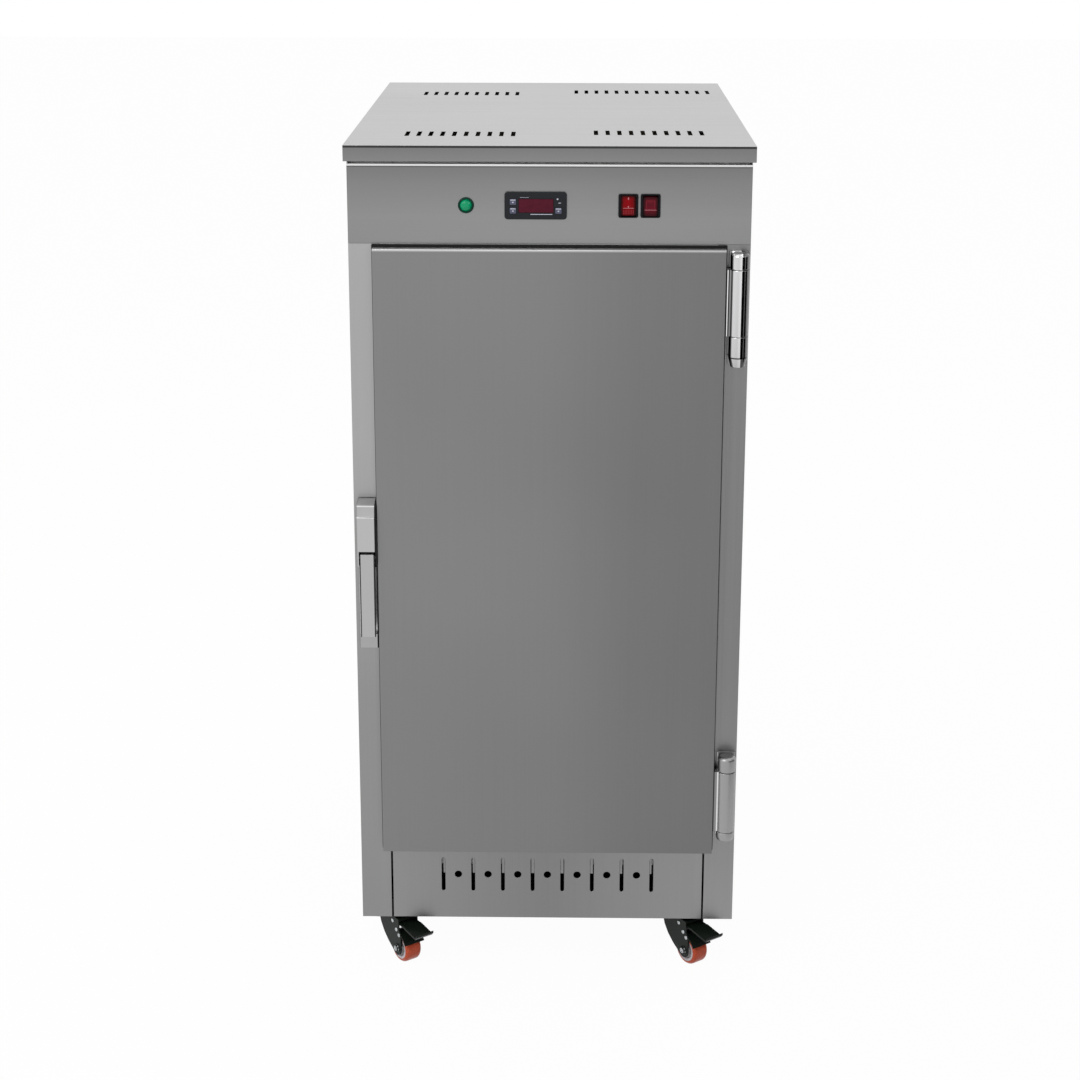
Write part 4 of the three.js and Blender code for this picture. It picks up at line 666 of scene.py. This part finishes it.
def addCaster(name):
    x, y = casters["spots"][name]
    trail, radius, half, outer = (casters[key] for key in ("trail", "radius", "half", "outer"))
    fork, wheel = "caster_" + name + "_fork", "caster_" + name + "_wheel"
    label = fork.replace("_", "-")
    softened(fork, casters["soft"])

    def place(grid):
        return turnedAbout(grid, x, y, casters["turn"])

    def onBothSides(profile):
        edge = casters["headEdge"]
        return [eased([(r, side * (outer + out)) for r, out in profile], edge) for side in (-1, 1)]

    bolt = [place(turned(shape, "x", -trail, radius, 32)) for shape in onBothSides(casters["head"])]
    settle(surface(label + ".bolts", bolt), fork, "zinc_steel", instead=False)
    spots = casters["rivets"] + ([casters["pivot"]] if name.startswith("front") else [])
    studs = onBothSides(casters["stud"])
    rivets = [place(turned(shape, "x", along, level, 24)) for along, level in spots for shape in studs]
    settle(surface(label + ".rivets", rivets), fork, "zinc_steel", instead=False)
    core, slope = radius - casters["tread"], casters["slope"]
    tread = [(core, -half), (radius - slope, -half), (radius, slope - half), (radius, half - slope)]
    tread += [(radius - slope, half), (core, half), (core, -half)]
    tread = eased(tread, casters["treadEdge"])
    tread = np.concatenate([tread, tread[:1]])
    settle(surface(label + ".tread", [place(turned(tread, "x", -trail, radius, 72))], lids=False), wheel)
    face = [(r, half - sunk) for r, sunk in casters["hub"]]
    face.append((core - casters["rimGap"], half - casters["rimSunk"]))
    boreRadius, boreSunk = casters["bore"]
    bore = [(boreRadius, boreSunk - half), (boreRadius, half - boreSunk)]
    rim = bore + face + [(r, -h) for r, h in reversed(face)] + bore[:1]
    rim = eased(rim, casters["rimEdge"], steps=4)
    ring = [place(turned(rim, "x", -trail, radius, 72))]
    settle(surface(label + ".rim", ring, lids=False), wheel, "key_grey", rimWhite)


for name in casters["spots"]:
    addCaster(name)
for node in ("caster_front_left_brake_pedal", "caster_front_right_brake_pedal"):
    softened(node, casters["soft"])
print("casters in")

# Screws that hold the back

screws = {
    "x": 242.5, "levels": (95.0, 330.0, 565.0, 800.0, 1035.0), "face": 700.0, "radius": 3.6, "height": 1.5,
    "recess": (1.3, 0.9), "sunk": 0.4, "topShare": 0.6, "edge": 0.5,
}


def addScrews():
    radius, face, height = screws["radius"], screws["face"], screws["height"]
    top = face + height
    foot, floor = face - screws["sunk"], face + height / 3
    wide, narrow = screws["recess"]
    head = [(0, foot), (radius, foot), (radius, face + height / 2), (radius * screws["topShare"], top)]
    head = eased(head + [(wide, top), (narrow, floor), (0, floor)], screws["edge"])
    spots = [(side * screws["x"], level) for side in (-1, 1) for level in screws["levels"]]
    heads = [turned(head, "y", across, level, 24) for across, level in spots]
    settle(surface("back.screws", heads), "back_panel", "zinc_steel", instead=False)


addScrews()
print("screws in")


# Camera

view = {
    "lens": 69.97, "place": (0.0216, -2.5694, 1.472), "pitch": 15.068, "yaw": -0.728, "roll": 0.1,
    "shift": -0.1188, "sensor": 36.0,
}


def addCamera():
    pitch, yaw, roll = (math.radians(view[key]) for key in ("pitch", "yaw", "roll"))
    forward = Vector((math.sin(yaw) * math.cos(pitch), math.cos(yaw) * math.cos(pitch), -math.sin(pitch)))
    right = Vector((math.cos(yaw), -math.sin(yaw), 0))
    up = right.cross(forward)
    across = right * math.cos(roll) + up * math.sin(roll)
    above = up * math.cos(roll) - right * math.sin(roll)
    camera = bpy.data.objects.new("camera", bpy.data.cameras.new("camera"))
    bpy.context.scene.collection.objects.link(camera)
    camera.data.sensor_width = view["sensor"]
    camera.data.lens = view["lens"]
    camera.data.shift_y = view["shift"]
    camera.data.dof.use_dof = False
    turn = Matrix((across, above, -forward)).transposed().to_4x4()
    x, y, z = view["place"]
    camera.matrix_world = Matrix.Translation((x, y + frontPlane, z)) @ turn
    bpy.context.scene.camera = camera


addCamera()

# Floor, backdrop and lights

stage = {
    "half": 14.0, "floorShow": 0.97, "under": 0.06, "floorGrey": 0.86, "floorRough": 0.9, "roomLight": 0.55,
    "beside": [(-262, 1.0), (-248, 0.0), (246, 0.0), (260, 1.0)],
    "around": [(128, 1.0), (180, 0.0), (680, 0.0), (780, 1.0)],
}
flags = [
    {"name": "flagNear", "from": (0.74, -1.52), "to": (1.3, -0.98), "height": 1.3},
    {"name": "flagFar", "from": (1.36, -0.86), "to": (1.46, -0.2), "height": 1.3},
]


def addStage():
    half = stage["half"]
    mesh = bpy.data.meshes.new("floor")
    corners = [(-half, -half, 0), (half, -half, 0), (half, half, 0), (-half, half, 0)]
    mesh.from_pydata(corners, [], [(0, 1, 2, 3)])
    floor = bpy.data.objects.new("floor", mesh)
    bpy.context.scene.collection.objects.link(floor)
    made, tree, shader = newMaterial("paleFloor")
    shader.inputs["Base Color"].default_value = (*(stage["floorGrey"],) * 3, 1)
    shader.inputs["Roughness"].default_value = stage["floorRough"]
    white = tree.nodes.new("ShaderNodeEmission")
    path = tree.nodes.new("ShaderNodeLightPath")
    seen = tree.nodes.new("ShaderNodeMath")
    seen.operation = "MAXIMUM"
    share = tree.nodes.new("ShaderNodeMath")
    share.operation = "MULTIPLY"
    besideBody = shareAlong(tree, "x", stage["beside"])
    aroundBody = shareAlong(tree, "y", stage["around"])
    clear = tree.nodes.new("ShaderNodeMath")
    clear.operation = "MAXIMUM"
    tree.links.new(besideBody, clear.inputs[0])
    tree.links.new(aroundBody, clear.inputs[1])
    show = tree.nodes.new("ShaderNodeMapRange")
    show.inputs["To Min"].default_value = stage["under"]
    show.inputs["To Max"].default_value = stage["floorShow"]
    tree.links.new(clear.outputs[0], show.inputs["Value"])
    tree.links.new(show.outputs["Result"], share.inputs[1])
    mix = tree.nodes.new("ShaderNodeMixShader")
    output = tree.nodes["Material Output"]
    tree.links.new(path.outputs["Is Camera Ray"], seen.inputs[0])
    tree.links.new(path.outputs["Is Glossy Ray"], seen.inputs[1])
    tree.links.new(seen.outputs[0], share.inputs[0])
    tree.links.new(share.outputs[0], mix.inputs["Fac"])
    tree.links.new(shader.outputs["BSDF"], mix.inputs[1])
    tree.links.new(white.outputs["Emission"], mix.inputs[2])
    tree.links.new(mix.outputs["Shader"], output.inputs["Surface"])
    mesh.materials.append(made)
    dark = mottled("flagCloth", (0.01, 0.01, 0.01), 0.95, scale=30.0)
    for flag in flags:
        (x0, y0), (x1, y1), height = flag["from"], flag["to"], flag["height"]
        cloth = bpy.data.meshes.new(flag["name"])
        cloth.from_pydata([(x0, y0, 0), (x1, y1, 0), (x1, y1, height), (x0, y0, height)], [], [(0, 1, 2, 3)])
        cloth.materials.append(dark)
        card = bpy.data.objects.new(flag["name"], cloth)
        bpy.context.scene.collection.objects.link(card)
        card.visible_camera = False
    world = bpy.data.worlds.new("room")
    bpy.context.scene.world = world
    world.use_nodes = True
    tree = world.node_tree
    back = tree.nodes["Background"]
    back.inputs["Color"].default_value = (1, 1, 1, 1)
    path = tree.nodes.new("ShaderNodeLightPath")
    glossy = tree.nodes.new("ShaderNodeMath")
    glossy.operation = "MAXIMUM"
    through = tree.nodes.new("ShaderNodeMath")
    through.operation = "MAXIMUM"
    strength = tree.nodes.new("ShaderNodeMapRange")
    strength.inputs["To Min"].default_value = stage["roomLight"]
    strength.inputs["To Max"].default_value = 1.0
    tree.links.new(path.outputs["Is Camera Ray"], glossy.inputs[0])
    tree.links.new(path.outputs["Is Glossy Ray"], glossy.inputs[1])
    tree.links.new(glossy.outputs[0], through.inputs[0])
    tree.links.new(path.outputs["Is Transmission Ray"], through.inputs[1])
    tree.links.new(through.outputs[0], strength.inputs["Value"])
    tree.links.new(strength.outputs["Result"], back.inputs["Strength"])


aimHeight = 0.6
lamps = [
    {"name": "key", "place": (-1.9, -2.6, 2.9), "size": 2.0, "power": 45},
    {"name": "fill", "place": (2.3, -2.0, 2.0), "size": 2.2, "power": 18},
    {"name": "top", "place": (0.0, 0.6, 3.4), "size": 2.4, "power": 22},
]


def addLamps():
    for lamp in lamps:
        data = bpy.data.lights.new(lamp["name"], "AREA")
        data.size = lamp["size"]
        data.energy = lamp["power"]
        lit = bpy.data.objects.new(lamp["name"], data)
        bpy.context.scene.collection.objects.link(lit)
        place = Vector(lamp["place"])
        aim = Vector((0, 0, aimHeight)) - place
        lit.matrix_world = Matrix.Translation(place) @ aim.to_track_quat("-Z", "Y").to_matrix().to_4x4()


addStage()
addLamps()
bpy.context.scene.view_settings.view_transform = "Standard"
print("camera, floor and lamps in place")

bpy.context.view_layer.update()
